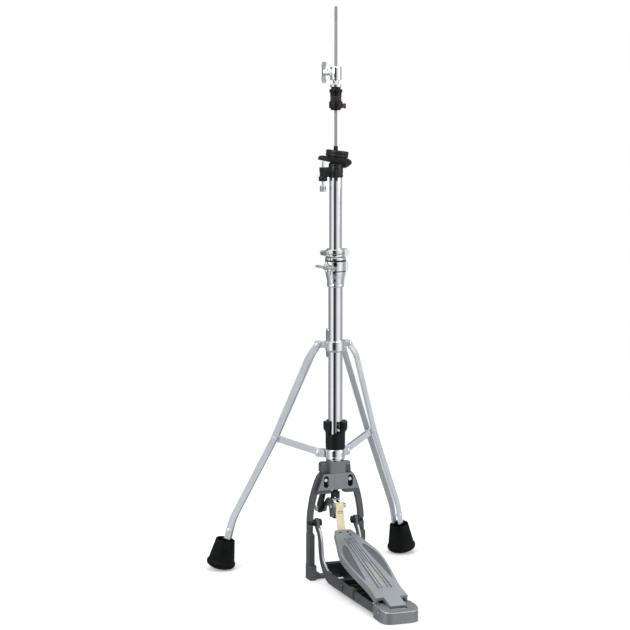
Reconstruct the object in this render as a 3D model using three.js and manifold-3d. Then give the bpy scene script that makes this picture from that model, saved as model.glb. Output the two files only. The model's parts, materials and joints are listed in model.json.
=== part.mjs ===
// Two-leg hi-hat stand: pedal, lever linkage, tube column, tilting cymbal seat, pull rod and clutch.
// Millimetres, +Z up. The origin is on the floor under the tube axis; the heel of the pedal is at -Y,
// the two legs spread towards +Y.
import * as THREE from 'three';
import { mergeVertices } from 'three/addons/utils/BufferGeometryUtils.js';
import Module from 'manifold-3d';

const wasm = await Module();
wasm.setup();

// ---------- driving dimensions ----------
const GAP = 0.3; // air kept between pieces that touch in the real object
const LOWER_R = 14.3; // lower tube outside radius
const LOWER_BORE = 13.1;
const LOWER_Z0 = 222;
const LOWER_Z1 = 636;
const UPPER_R = 12.7; // upper tube outside radius
const UPPER_BORE = 11.3;
const UPPER_Z0 = 470;
const UPPER_Z1 = 836;
const ROD_R = 3;
const ROD_TOP = 1150;
const ROD_JOINT_Z = 395; // where the upper rod screws into the lower rod

const HUB_Z0 = 217.5;
const HUB_Z1 = 241;
const HUB_FRONT = -18;
const PLATE_HALF_TOP = 31;
const PLATE_HALF_BOTTOM = 44;
const PLATE_Z0 = 184;
const PLATE_Z1 = 217.2;
const COLUMN_OUT = 60; // outside face of a column
const COLUMN_IN = 50.5; // inside face of a column
const FOOT_BLOCK_H = 30;

const STAY_COLLAR_Z0 = 244;
const STAY_COLLAR_Z1 = 264.5;
const DIAL_Z0 = 265.5;
const DIAL_R = 20;
const DIAL_CROWN_R = 24.5;
const DIAL_TOP = 322;
const FOLLOWER_Z = 305;

const LEG_AZIMUTH = 56.3; // degrees either side of +Y
const LEG_COLLAR_Z0 = 464;
const LEG_COLLAR_Z1 = 486;
const LEG_HINGE = [36, 477]; // radius, height
const STAY_INNER = [34, 256];
const STAY_OUTER = [126.5, 281];
const LEG_KNEE = [51.5, 454];
const LEG_BEND = [217, 106];
const LEG_END = [227, 66];
const LEG_RIVET = [222.4, 84];
const STRIP_T = 5; // thickness of one leg strip
const STRIP_H = 12; // depth of one leg strip in the leg's plane

const SOCKET_Z0 = 595;
const SOCKET_Z1 = 655;
const LOCK_Z0 = 656;
const LOCK_Z1 = 671;

const SEAT_TILT = 7.5; // degrees, right side lower
const SEAT_PIVOT_Z = 838;
const TILT_SCREW_X = -27;

const HEEL_HINGE = [-332, 19]; // y, z of the footboard hinge
const FOLD_PIVOT = [-5, 116]; // y, z of the pivot where the base folds up
const LEVER_PIVOT = [38, 135];
const STRAP_BOLT = [-20, 151];
const ROD_PIN = [0, 160];
const TOE = [-36, 104];

// ---------- materials ----------
const steel = (color, roughness = 0.2) =>
  new THREE.MeshStandardMaterial({ color, roughness, metalness: 1 });
const plastic = (color, roughness = 0.55) =>
  new THREE.MeshStandardMaterial({ color, roughness, metalness: 0 });
const CHROME = steel(0xe6e9ec, 0.08);
const ZINC = steel(0xc6c8d0, 0.3);
const PAINT = steel(0x5a5f64, 0.5);
const PLATE = steel(0x80888b, 0.5);
const BOARD = steel(0xa9b0b8, 0.45);
const BLACK = plastic(0x16191a);
const RUBBER = plastic(0x121313, 0.85);
const RED = plastic(0x5a1018, 0.35);
const STRAP = plastic(0xe8dfb5, 0.9);
const FELT = plastic(0x4a4244, 1);

// ---------- geometry helpers ----------
// A closed mesh with merged corners, outward faces and no collapsed triangles.
function closed(geometry) {
  const bare = geometry.clone();
  bare.deleteAttribute('normal');
  bare.deleteAttribute('uv');
  const merged = mergeVertices(bare, 1e-3);
  const position = merged.attributes.position.array;
  const source = merged.index.array;
  const index = [];
  let volume = 0;
  for (let i = 0; i < source.length; i += 3) {
    const [a, b, c] = [source[i], source[i + 1], source[i + 2]];
    if (a !== b && b !== c && a !== c) {
      index.push(a, b, c);
      const p = new THREE.Vector3().fromArray(position, a * 3);
      const q = new THREE.Vector3().fromArray(position, b * 3);
      const r = new THREE.Vector3().fromArray(position, c * 3);
      volume += p.dot(q.cross(r));
    }
  }
  if (volume < 0) {
    for (let i = 0; i < index.length; i += 3) {
      [index[i], index[i + 1]] = [index[i + 1], index[i]];
    }
  }
  const result = new THREE.BufferGeometry();
  result.setAttribute('position', new THREE.BufferAttribute(new Float32Array(position), 3));
  result.setIndex(index);
  return result;
}

function toSolid(geometry) {
  const tidy = closed(geometry);
  const mesh = new wasm.Mesh({
    numProp: 3,
    vertProperties: tidy.attributes.position.array,
    triVerts: new Uint32Array(tidy.index.array),
  });
  return new wasm.Manifold(mesh);
}

function fromSolid(solid) {
  const mesh = solid.getMesh();
  const result = new THREE.BufferGeometry();
  result.setAttribute('position', new THREE.BufferAttribute(new Float32Array(mesh.vertProperties), 3));
  result.setIndex(Array.from(mesh.triVerts));
  return result;
}

const join = (...parts) => fromSolid(parts.map(toSolid).reduce((a, b) => a.add(b)));
const cut = (base, ...tools) => fromSolid(tools.map(toSolid).reduce((a, b) => a.subtract(b), toSolid(base)));
const meet = (a, b) => fromSolid(toSolid(a).intersect(toSolid(b)));

const box = (x0, x1, y0, y1, z0, z1) =>
  new THREE.BoxGeometry(x1 - x0, y1 - y0, z1 - z0).translate((x0 + x1) / 2, (y0 + y1) / 2, (z0 + z1) / 2);

// Cylinder or cone along Z between two heights.
const rod = (r, z0, z1, segments = 20, topR = r) =>
  new THREE.CylinderGeometry(topR, r, z1 - z0, segments).rotateX(Math.PI / 2).translate(0, 0, (z0 + z1) / 2);

// Cylinder along X or along Y.
const rodX = (r, x0, x1, y, z, segments = 16) =>
  rod(r, x0, x1, segments).rotateY(Math.PI / 2).translate(0, y, z);
const rodY = (r, y0, y1, x, z, segments = 16) =>
  rod(r, -y1, -y0, segments).rotateX(Math.PI / 2).translate(x, 0, z);

// Solid of revolution about Z from [radius, height] pairs.
const lathe = (profile, segments = 24) =>
  new THREE.LatheGeometry(profile.map(([r, z]) => new THREE.Vector2(r, z)), segments).rotateX(Math.PI / 2);

// Ring: the profile closes on itself.
const ring = (profile, segments = 24) => lathe([...profile, profile[0]], segments);
const tube = (bore, r, z0, z1, segments = 24) =>
  ring([[bore, z0], [r, z0], [r, z1], [bore, z1]], segments);

const outline = (points) => new THREE.Shape(points.map(([a, b]) => new THREE.Vector2(a, b)));
const extrude = (shape, depth, curveSegments = 6) =>
  new THREE.ExtrudeGeometry(shape, { depth, bevelEnabled: false, curveSegments });

// Outline in (x, z), thickness along Y from y0 to y1.
const slabXZ = (shape, y0, y1) => extrude(shape, y1 - y0).rotateX(Math.PI / 2).translate(0, y1, 0);
// Outline in (y, z), thickness along X from x0 to x1.
const slabYZ = (shape, x0, x1) =>
  extrude(shape, x1 - x0)
    .applyMatrix4(new THREE.Matrix4().set(0, 0, 1, x0, 1, 0, 0, 0, 0, 1, 0, 0, 0, 0, 0, 1));
// Outline in (x, y), thickness along Z.
const slabXY = (shape, z0, z1) => extrude(shape, z1 - z0).translate(0, 0, z0);

const mirrorX = (geometry) => geometry.clone().scale(-1, 1, 1);

// Rounded box along Z, made from a rounded rectangle.
function roundRect(x0, x1, y0, y1, r) {
  const s = new THREE.Shape();
  s.moveTo(x0 + r, y0);
  s.lineTo(x1 - r, y0);
  s.quadraticCurveTo(x1, y0, x1, y0 + r);
  s.lineTo(x1, y1 - r);
  s.quadraticCurveTo(x1, y1, x1 - r, y1);
  s.lineTo(x0 + r, y1);
  s.quadraticCurveTo(x0, y1, x0, y1 - r);
  s.lineTo(x0, y0 + r);
  s.quadraticCurveTo(x0, y0, x0 + r, y0);
  return s;
}

// Wing bolt along +X from the origin: threaded shank, hub and two wings in the XZ plane.
function wingBolt(shankR, shankL, hubR, hubL, wingL, wingW) {
  const shank = rodX(shankR, 0, shankL + 1, 0, 0, 12);
  const hub = rodX(hubR, shankL, shankL + hubL, 0, 0, 16);
  const wing = new THREE.Shape();
  wing.moveTo(shankL + hubL * 0.3, 0);
  wing.lineTo(shankL + hubL, 0);
  wing.quadraticCurveTo(shankL + hubL + wingW * 0.6, wingL * 0.6, shankL + hubL, wingL);
  wing.quadraticCurveTo(shankL + hubL * 0.4, wingL * 1.05, shankL + hubL * 0.2, wingL * 0.75);
  wing.quadraticCurveTo(shankL + hubL * 0.45, wingL * 0.4, shankL + hubL * 0.3, 0);
  const half = slabXZ(wing, -2, 2);
  const other = half.clone().scale(1, 1, -1);
  return join(shank, hub, half, other);
}

const group = new THREE.Group();
group.name = 'hi_hat_stand';
function add(name, geometry, material, parent = group) {
  const mesh = new THREE.Mesh(closed(geometry), material);
  mesh.name = name;
  parent.add(mesh);
  return mesh;
}

// ---------- lower frame ----------
const sideFlat = (r, z0, z1, angle) => rod(r, z0, z1, 12).rotateZ(angle);

// Lower tube with the slot in front for the spring follower.
const followerSlot = box(-3, 3, -20, 0, FOLLOWER_Z - 14, FOLLOWER_Z + 17);
add('lower_tube', cut(tube(LOWER_BORE, LOWER_R, LOWER_Z0, LOWER_Z1), followerSlot), CHROME);

// Hub: a cast block that holds the foot of the lower tube.
let hub = join(
  box(-16.5, 16.5, HUB_FRONT, 12, HUB_Z0, HUB_Z1),
  rod(18, HUB_Z0, HUB_Z1, 24),
  box(-31, -10, -8, 14, HUB_Z0, HUB_Z1 - 4),
  box(10, 30, -8, 14, HUB_Z0, HUB_Z1 - 8),
  rodX(6, 10, 27, -2, HUB_Z1 - 7),
  rodX(4.2, 20, 30.5, -2, HUB_Z1 - 7),
);
hub = cut(hub, rod(LOWER_R + GAP, LOWER_Z0 - GAP, HUB_Z1 + 1, 24), rod(7, HUB_Z0 - 1, LOWER_Z0, 20));
add('frame_hub', hub, PLATE);

// Yoke: slotted front plate, top web, two columns with curved shoulders, flanges and foot blocks.
const arch = new THREE.Shape();
arch.moveTo(PLATE_HALF_TOP - 8, PLATE_Z1);
arch.lineTo(PLATE_HALF_TOP + 1, PLATE_Z1);
arch.lineTo(PLATE_HALF_TOP + 9, 209);
arch.lineTo(46, 192);
arch.lineTo(52.5, 172);
arch.lineTo(57.5, 147);
arch.lineTo(COLUMN_OUT, 118);
arch.lineTo(COLUMN_OUT, FOOT_BLOCK_H - 4);
arch.lineTo(COLUMN_IN, FOOT_BLOCK_H - 4);
arch.lineTo(COLUMN_IN, 112);
arch.lineTo(48.5, 138);
arch.lineTo(44.5, 160);
arch.lineTo(38, 182);
arch.lineTo(PLATE_HALF_TOP - 8, 200);
const rightColumn = slabXZ(arch, -7, 7);
const rightBlock = join(
  slabXY(roundRect(COLUMN_IN - 3.5, COLUMN_OUT + 1.5, -21, 10, 4), 0, FOOT_BLOCK_H),
  slabXZ(outline([
    [COLUMN_IN - 1, FOOT_BLOCK_H - 4],
    [COLUMN_OUT + 0.5, FOOT_BLOCK_H - 4],
    [COLUMN_OUT + 0.5, 92],
    [COLUMN_OUT - 2.5, 97],
    [COLUMN_IN + 2, 97],
    [COLUMN_IN - 1, 92],
  ]), -14, 7.5),
);
const plateShape = outline([
  [-PLATE_HALF_TOP, PLATE_Z1],
  [-PLATE_HALF_BOTTOM, PLATE_Z0],
  [PLATE_HALF_BOTTOM, PLATE_Z0],
  [PLATE_HALF_TOP, PLATE_Z1],
]);
const plate = slabXZ(plateShape, -18, -13);
const web = slabXZ(outline([
  [-PLATE_HALF_TOP, PLATE_Z1],
  [-36, 205],
  [36, 205],
  [PLATE_HALF_TOP, PLATE_Z1],
]), -13.5, 10);
const rightFlange = box(14, 44, -15, 2, 176, 184.5);
const slot = (x) => join(
  box(x - 5.5, x + 5.5, -20, -10, 194, 207.5),
  rodY(5.5, -20, -10, x, 194),
  rodY(5.5, -20, -10, x, 207.5),
);
const slotBack = (x) => box(x - 5.8, x + 5.8, -12, -1, 184, 214);
const pivotHole = (side) =>
  rodX(4.4, side > 0 ? 40 : -70, side > 0 ? 70 : -40, FOLD_PIVOT[0], FOLD_PIVOT[1]);
let yoke = join(plate, web, rightColumn, mirrorX(rightColumn), rightBlock, mirrorX(rightBlock));
yoke = join(yoke, rightFlange, mirrorX(rightFlange));
yoke = cut(yoke, slot(26), slot(-26), rod(8, 170, 220), pivotHole(1), pivotHole(-1));
yoke = cut(yoke, slotBack(26), slotBack(-26));
add('frame_yoke', yoke, PAINT);

// Spring posts seen through the slots of the plate: a bolt with a round head in each.
const plateBolt = (x) => join(rodY(4.6, -15.5, -11.5, x, 204, 14), rodY(2.5, -12.5, -1.3, x, 204, 10));
add('left_plate_bolt', plateBolt(-26), CHROME);
add('right_plate_bolt', plateBolt(26), CHROME);

// Floor bar between the foot blocks, thinner in the middle.
const floorPlate = cut(
  box(-46.5, 46.5, -12, 9, 0, 11),
  box(-36, 36, -13, 10, 6, 12),
);
add('base_plate', floorPlate, PAINT);

// Bracket that hangs from the yoke and carries the lever pivot.
const hangerShape = new THREE.Shape();
hangerShape.moveTo(10, 204.6);
hangerShape.lineTo(2.4, 204.6);
hangerShape.lineTo(2.4, 182);
hangerShape.lineTo(26, 140);
hangerShape.lineTo(27, 131);
hangerShape.lineTo(33, 125.5);
hangerShape.lineTo(43, 125.5);
hangerShape.lineTo(48, 131);
hangerShape.lineTo(48, 140);
hangerShape.lineTo(44, 147);
hangerShape.lineTo(10, 196);
let hanger = slabYZ(hangerShape, -22.6, -17);
hanger = cut(hanger, rodX(4, -30, -10, LEVER_PIVOT[0], LEVER_PIVOT[1]));
add('lever_hanger', hanger, BLACK);
add('lever_pivot_pin', join(
  rodX(3.5, -26.5, -4.5, LEVER_PIVOT[0], LEVER_PIVOT[1]),
  rodX(7, -28.5, -24.5, LEVER_PIVOT[0], LEVER_PIVOT[1], 6),
), CHROME);

// ---------- spring tension dial ----------
const sector = (r, fromDeg, toDeg, z0, z1) => {
  const s = new THREE.Shape();
  s.moveTo(0, 0);
  const steps = Math.max(2, Math.ceil((toDeg - fromDeg) / 30));
  for (let i = 0; i <= steps; i += 1) {
    const a = ((fromDeg + ((toDeg - fromDeg) * i) / steps) * Math.PI) / 180;
    s.lineTo(r * Math.cos(a), r * Math.sin(a));
  }
  return slabXY(s, z0, z1);
};
let dial = join(
  ring([[14.9, DIAL_Z0], [19.2, DIAL_Z0], [DIAL_R, 270], [DIAL_R, 312], [14.9, 312]], 24),
  ring([[14.9, 300], [DIAL_R, 300], [DIAL_CROWN_R, 305], [DIAL_CROWN_R, DIAL_TOP], [14.9, DIAL_TOP]], 24),
);
// The crown is cut away in steps: a helical ramp in front and open bays behind.
dial = cut(
  dial,
  sector(40, -152, -128, 295.5, 330),
  sector(40, -128.5, -116, 297.2, 330),
  sector(40, -116.5, -104, 299.2, 330),
  sector(40, -104.5, -77, 300.9, 330),
  sector(40, -77.5, -68, 309, 330),
  sector(40, 20, 62, 308, 330),
  sector(40, 118, 160, 308, 330),
);
add('tension_dial', dial, BLACK);

// Follower: spring seat inside the tube with a peg out through the slot onto the dial's ramp.
let follower = join(
  tube(4.2, 11.8, FOLLOWER_Z - 2.5, FOLLOWER_Z + 2.5, 20),
  rodY(2.3, -20.5, -8, 0, FOLLOWER_Z, 12),
);
follower = cut(follower, rod(4.2, FOLLOWER_Z - 9, FOLLOWER_Z + 9, 20));
add('spring_follower', follower, CHROME);

// ---------- pull rod ----------
add('pull_rod_upper', lathe([
  [0, ROD_JOINT_Z + 0.3],
  [ROD_R, ROD_JOINT_Z + 0.3],
  [ROD_R, ROD_TOP - 1],
  [ROD_R - 1, ROD_TOP],
  [0, ROD_TOP],
], 14), steel(0xa8acb0, 0.25));
// Lower rod with the coupling head that presses on the spring.
add('pull_rod_lower', lathe([
  [0, 178],
  [ROD_R, 178],
  [ROD_R, 372],
  [8.5, 372],
  [8.5, ROD_JOINT_Z],
  [0, ROD_JOINT_Z],
], 14), ZINC);
class Helix extends THREE.Curve {
  constructor(r, z0, z1, turns) {
    super();
    this.data = [r, z0, z1, turns];
  }

  getPoint(t, target = new THREE.Vector3()) {
    const [r, z0, z1, turns] = this.data;
    const a = t * turns * Math.PI * 2;
    return target.set(r * Math.cos(a), r * Math.sin(a), z0 + (z1 - z0) * t);
  }
}
const wire = outline([[0.9, 0.9], [-0.9, 0.9], [-0.9, -0.9], [0.9, -0.9]]);
add('return_spring', new THREE.ExtrudeGeometry(wire, {
  steps: 88,
  extrudePath: new Helix(7.8, FOLLOWER_Z + 4.2, 370.4, 8),
}), ZINC);

// Clevis: cross-pinned fork between the rod's end and the lever.
let clevis = join(
  rod(5.5, 176, 190, 14),
  box(-7.5, 7.5, -6.5, 6.5, 165.5, 177),
  box(-7.5, -4, -6.5, 6.5, 153, 166),
  box(4, 7.5, -6.5, 6.5, 153, 166),
);
clevis = cut(
  clevis,
  rod(ROD_R + GAP, 177.6, 192, 14),
);
add('rod_clevis', clevis, BLACK);

// ---------- lever and strap ----------
const leverShape = new THREE.Shape();
leverShape.moveTo(46, 131);
leverShape.lineTo(46, 139);
leverShape.lineTo(41, 143.5);
leverShape.lineTo(30, 146);
leverShape.lineTo(5, 164.5);
leverShape.lineTo(-4, 164.5);
leverShape.lineTo(-27, 158);
leverShape.lineTo(-28, 147);
leverShape.lineTo(-25, 143);
leverShape.lineTo(-22, 128);
leverShape.lineTo(-9, 127);
leverShape.lineTo(-4, 148);
leverShape.lineTo(14, 146);
leverShape.lineTo(30, 128);
leverShape.lineTo(41, 127);
const leverPlate = slabYZ(leverShape, -15.5, -10.5);
let lever = join(
  leverPlate,
  rodX(7.6, -16.4, -6.5, LEVER_PIVOT[0], LEVER_PIVOT[1], 18),
  box(-11, 3, -21, -8, 125, 138),
  rodX(2.8, -11, 9.5, ROD_PIN[0], ROD_PIN[1], 12),
);
lever = cut(
  lever,
  rodX(3.8, -30, 0, LEVER_PIVOT[0], LEVER_PIVOT[1]),
  rodX(3.3, -30, 0, STRAP_BOLT[0], STRAP_BOLT[1]),
);
add('lever_arm', lever, ZINC);
clevis = cut(
  clevis,
  rodX(4.2, -12, 12, ROD_PIN[0], ROD_PIN[1]),
  box(-12, 12, -12, 0, ROD_PIN[1] - 4.2, ROD_PIN[1] + 4.2),
);
group.getObjectByName('rod_clevis').geometry = closed(clevis);
add('strap_bolt', join(
  rodX(3, -17.5, 12, STRAP_BOLT[0], STRAP_BOLT[1]),
  rodX(5.6, -10.1, -8.4, STRAP_BOLT[0], STRAP_BOLT[1]),
  rodX(5.8, 9, 15.5, STRAP_BOLT[0], STRAP_BOLT[1], 6),
  rodX(5, -19.5, -15.9, STRAP_BOLT[0], STRAP_BOLT[1], 6),
), CHROME);

// Woven strap: a loop round the bolt with two plies down to the toe.
const strapDir = new THREE.Vector2(TOE[0] - STRAP_BOLT[0], TOE[1] - STRAP_BOLT[1]).normalize();
const strapNormal = new THREE.Vector2(strapDir.y, -strapDir.x);
const strapPoint = (along, across) => [
  STRAP_BOLT[0] + strapDir.x * along + strapNormal.x * across,
  STRAP_BOLT[1] + strapDir.y * along + strapNormal.y * across,
];
const strapLength = Math.hypot(TOE[0] - STRAP_BOLT[0], TOE[1] - STRAP_BOLT[1]);
const strapEdge = [];
for (let i = 0; i <= 10; i += 1) {
  const a = (i / 10) * Math.PI;
  strapEdge.push(strapPoint(-6.3 * Math.sin(a), 6.3 * Math.cos(a)));
}
strapEdge.push(strapPoint(12, -3.2), strapPoint(strapLength, -2.2));
strapEdge.push(strapPoint(strapLength, 2.2), strapPoint(12, 3.2));
let strap = slabYZ(outline(strapEdge), -8, 8.4);
strap = cut(strap, rodX(3.4, -20, 20, STRAP_BOLT[0], STRAP_BOLT[1]));
add('strap', strap, STRAP);

// ---------- footboard ----------
// The board is drawn flat as half widths along its length and then laid on its slope.
const boardVector = new THREE.Vector2(TOE[0] - HEEL_HINGE[0], TOE[1] - HEEL_HINGE[1] - 9);
const boardAngle = Math.atan2(boardVector.y, boardVector.x);
const onBoard = (geometry) => geometry.rotateX(boardAngle).translate(0, ...HEEL_HINGE);
const halfWidths = [
  [30, 32.5], [50, 31.5], [70, 31.5], [95, 33.5], [120, 36.5], [145, 39], [165, 40.5], [190, 41],
  [215, 38.5], [240, 33], [265, 26.5], [285, 22], [303, 18],
];
const boardOutline = (inset, from, to) => {
  const rightSide = halfWidths.filter(([s]) => s >= from && s <= to).map(([s, w]) => [w - inset, s]);
  const leftSide = rightSide.map(([w, s]) => [-w, s]).reverse();
  return outline([...rightSide, ...leftSide]);
};
const tongue = box(-16.5, 16.5, -4, 32, 4, 12);
const boardPlate = slabXY(boardOutline(0, 0, 400), 6, 12);
const boardSkirt = cut(slabXY(boardOutline(0, 0, 400), -2, 7), slabXY(boardOutline(4, 0, 285), -3, 6));
const sidePanel = slabXY(outline([[16, 232], [20, 240], [28, 226], [33.5, 207], [35.8, 185], [35.5, 162],
  [34, 142], [31.5, 120], [27, 98]]), 10.5, 15);
const groove = (x, s0, s1) => box(x - 1, x + 1, s0, s1, 10.6, 15);
let board = join(boardPlate, boardSkirt, tongue, rodX(7.2, -16.5, 16.5, 0, 0));
board = cut(
  board,
  sidePanel,
  mirrorX(sidePanel),
  groove(7, 66, 266),
  groove(-7, 66, 266),
  rodX(3.6, -20, 20, 0, 0),
  box(-40, -16.2, -10, 26, -20, 20),
  box(16.2, 40, -10, 26, -20, 20),
  box(-9, 9, 284, 310, -8, 6.4),
);
add('footboard', onBoard(board), BOARD);
// Clamp bar and screws that hold the end of the strap under the toe.
const clamp = onBoard(join(
  box(-8.6, 8.6, 285, 302, -1.6, 2.2),
  rod(2.6, 1, 6.1, 12).translate(-4.5, 290, 0),
  rod(2.6, 1, 6.1, 12).translate(4.5, 290, 0),
));
add('toe_clamp', clamp, CHROME);

// ---------- pedal base ----------
const heelShape = new THREE.Shape();
heelShape.moveTo(-38, -305);
heelShape.lineTo(-38, -338);
heelShape.quadraticCurveTo(-37, -360, -16, -361);
heelShape.lineTo(16, -361);
heelShape.quadraticCurveTo(37, -360, 38, -338);
heelShape.lineTo(38, -305);
let heel = slabXY(heelShape, 0, 27);
// The top slopes down to the back edge.
heel = cut(heel, box(-50, 50, -42, 10, 0, 30).rotateX(0.16).translate(0, -334, 27));
heel = cut(
  heel,
  box(-17, 17, -345, -300, 8, 40),
  rodX(3.6, -50, 50, HEEL_HINGE[0], HEEL_HINGE[1]),
  box(-29, 29, -322, -300, 4, 22),
);
add('heel_plate', heel, steel(0x8b8f96, 0.5));
add('footboard_hinge_pin', rodX(3.2, -34, 34, HEEL_HINGE[0], HEEL_HINGE[1], 14), ZINC);

// Side rail: round eye at the fold pivot, arm down past the column, long bar back to the heel.
const railShape = outline([
  [-14, 116], [-11, 123], [-5, 125.5], [1, 123], [4, 116], [0, 107], [-13, 96], [-20, 80], [-24, 56],
  [-34, 36], [-52, 19], [-81, 8], [-200, 8], [-304.5, 9], [-304.5, 24], [-224, 26], [-143, 29],
  [-90, 29], [-72, 32], [-50, 44], [-39, 58], [-36, 80], [-27, 100],
]);
const railEye = rodX(5, 30, 50, FOLD_PIVOT[0], FOLD_PIVOT[1]);
const railAt = (side) => {
  let bar = slabYZ(railShape, 39, 44.5);
  bar = join(bar, slabYZ(outline([[-188, 11], [-188, 31], [-212, 31], [-212, 11]]), 38.9, 48.5));
  bar = join(bar, slabYZ(outline([[-140, 13], [-140, 25], [-156, 25], [-156, 13]]), 40, 47.5));
  bar = cut(bar, railEye);
  // The bars draw in towards the heel.
  const p = bar.attributes.position;
  for (let i = 0; i < p.count; i += 1) {
    const back = Math.max(0, -60 - p.getY(i));
    p.setX(i, p.getX(i) - (6.5 * back) / 244.5);
  }
  return side > 0 ? bar : mirrorX(bar);
};
add('right_rail', railAt(1), PAINT);
add('left_rail', railAt(-1), PAINT);

// Floor pan between the rails: cross bar in front, windowed plate behind it, stiffened by cross ribs.
const panShape = outline([
  [-36.4, -124.6], [36.4, -124.6], [32.1, -300], [32.1, -304.6], [28.4, -304.6], [28.4, -318],
  [-28.4, -318], [-28.4, -304.6], [-32.1, -304.6], [-32.1, -300],
]);
let pan = join(
  slabXY(panShape, 12, 15),
  box(-38.3, 38.3, -62, -44, 26, 44),
  box(-26, 26, -62, -50, 14, 27),
  box(-8, 8, -126, -61, 14, 24),
  box(-36.8, 36.8, -128, -111, 12, 26),
);
for (const y of [-150, -180, -210, -240]) {
  pan = join(pan, box(-30, 30, y - 3, y + 3, 14, 22));
}
for (const y of [-165, -195, -225, -255]) {
  pan = cut(pan, box(-25, -6, y - 8, y + 8, 0, 20), box(6, 25, y - 8, y + 8, 0, 20));
}
add('base_pan', pan, BLACK);

// Fold bolts with round black heads on the inside of the columns.
const foldBolt = join(
  rodX(4, 36, 58, FOLD_PIVOT[0], FOLD_PIVOT[1], 14),
  rodX(7.5, 32, 38.5, FOLD_PIVOT[0], FOLD_PIVOT[1], 14),
  rodX(7, 44.9, 49.1, FOLD_PIVOT[0], FOLD_PIVOT[1], 14),
);
add('right_fold_bolt', foldBolt, BLACK);
add('left_fold_bolt', mirrorX(foldBolt), BLACK);

// ---------- legs ----------
const ears = (r, z, inR, angle) => join(
  box(-9, -4.5, inR, r + 6, z - 7.5, z + 7.5),
  box(4.5, 9, inR, r + 6, z - 7.5, z + 7.5),
).rotateZ(-angle);
const rad = (deg) => (deg * Math.PI) / 180;

let legCollar = ring([
  [LOWER_R + GAP, LEG_COLLAR_Z0],
  [17, LEG_COLLAR_Z0],
  [20.5, LEG_COLLAR_Z0 + 4],
  [20.5, LEG_COLLAR_Z1],
  [LOWER_R + GAP, LEG_COLLAR_Z1],
], 24);
const collarBlock = (angle) => box(-4.2, 4.2, 16, LEG_HINGE[0] + 5.5, LEG_HINGE[1] - 6, LEG_HINGE[1] + 6)
  .rotateZ(-angle);
const pinHole = (r, z, angle, hole = 3.3) => rodX(hole, -30, 30, 0, 0).translate(0, r, z).rotateZ(-angle);
legCollar = join(
  legCollar,
  collarBlock(rad(LEG_AZIMUTH)),
  collarBlock(-rad(LEG_AZIMUTH)),
  rodY(7.5, 17, 27, 0, 475, 16),
);
legCollar = cut(
  legCollar,
  rod(LOWER_R + GAP, 400, 500, 24),
  rodY(3.3, 12, 40, 0, 475, 12),
  pinHole(LEG_HINGE[0], LEG_HINGE[1], rad(LEG_AZIMUTH)),
  pinHole(LEG_HINGE[0], LEG_HINGE[1], -rad(LEG_AZIMUTH)),
);
add('leg_collar', legCollar, CHROME);

let stayCollar = join(
  ring([
    [LOWER_R + GAP, STAY_COLLAR_Z0],
    [19, STAY_COLLAR_Z0],
    [19.7, STAY_COLLAR_Z0 + 1],
    [19.7, STAY_COLLAR_Z1],
    [LOWER_R + GAP, STAY_COLLAR_Z1],
  ], 24),
  ears(STAY_INNER[0], STAY_INNER[1] - 1, 12, rad(LEG_AZIMUTH)),
  ears(STAY_INNER[0], STAY_INNER[1] - 1, 12, -rad(LEG_AZIMUTH)),
);
stayCollar = cut(
  stayCollar,
  rod(LOWER_R + GAP, 200, 300, 24),
  pinHole(STAY_INNER[0], STAY_INNER[1], rad(LEG_AZIMUTH)),
  pinHole(STAY_INNER[0], STAY_INNER[1], -rad(LEG_AZIMUTH)),
);
add('stay_collar', stayCollar, CHROME);

// One leg is drawn in its own plane: x across, y outwards from the tube, z up.
const stripPath = [LEG_HINGE, LEG_KNEE, STAY_OUTER, LEG_BEND, LEG_END];
const stripSide = [7.2, 14, 8.2, 8.2, 8.2];
function strip(sign) {
  // A bar that follows the leg's centre line and joggles sideways from station to station.
  const pieces = [];
  for (let i = 0; i < stripPath.length - 1; i += 1) {
    const [r0, z0] = stripPath[i];
    const [r1, z1] = stripPath[i + 1];
    const dir = new THREE.Vector2(r1 - r0, z1 - z0).normalize();
    const nx = -dir.y * (STRIP_H / 2);
    const nz = dir.x * (STRIP_H / 2);
    const over = i === 0 ? 6.5 : 0;
    const base = new THREE.BoxGeometry(1, 1, 1);
    const p = base.attributes.position;
    for (let k = 0; k < p.count; k += 1) {
      const atEnd = p.getY(k) > 0;
      const r = atEnd ? r1 : r0 - dir.x * over;
      const z = atEnd ? z1 : z0 - dir.y * over;
      const side = p.getZ(k) > 0 ? 1 : -1;
      const half = atEnd ? stripSide[i + 1] : stripSide[i];
      const across = sign * (half + (p.getX(k) > 0 ? STRIP_T / 2 : -STRIP_T / 2));
      p.setXYZ(k, across, r + nx * side, z + nz * side);
    }
    pieces.push(base);
    if (i > 0) {
      const knot = rodX(STRIP_H / 2, -STRIP_T / 2, STRIP_T / 2, 0, 0, 10);
      pieces.push(knot.translate(sign * stripSide[i], r0, z0));
    }
  }
  let bar = join(...pieces);
  bar = cut(
    bar,
    rodX(3.3, -40, 40, LEG_HINGE[0], LEG_HINGE[1]),
    rodX(2.9, -40, 40, LEG_RIVET[0], LEG_RIVET[1]),
  );
  // Head of the stay's pivot, formed on the outer face of the bar.
  const out = sign * (stripSide[2] + STRIP_T / 2);
  const head = rodX(4.6, Math.min(out - sign, out + sign * 2), Math.max(out - sign, out + sign * 2),
    STAY_OUTER[0], STAY_OUTER[1], 14);
  return join(bar, head);
}

const footTop = [233, 60];
const footBottom = [243, 10.66];
const footTilt = Math.atan2(footBottom[0] - footTop[0], footTop[1] - footBottom[1]);
function foot() {
  // Hollow rubber shoe round the end of the leg, axis leaning outwards.
  const cone = ring([
    [0.01, -7.8],
    [20, -7],
    [28.5, -2],
    [30, 3],
    [29.4, 6],
    [27.5, 8],
    [19.5, 53],
    [17.6, 53],
    [17.6, 30],
    [0.01, 30],
  ], 24);
  return cone;
}

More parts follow.
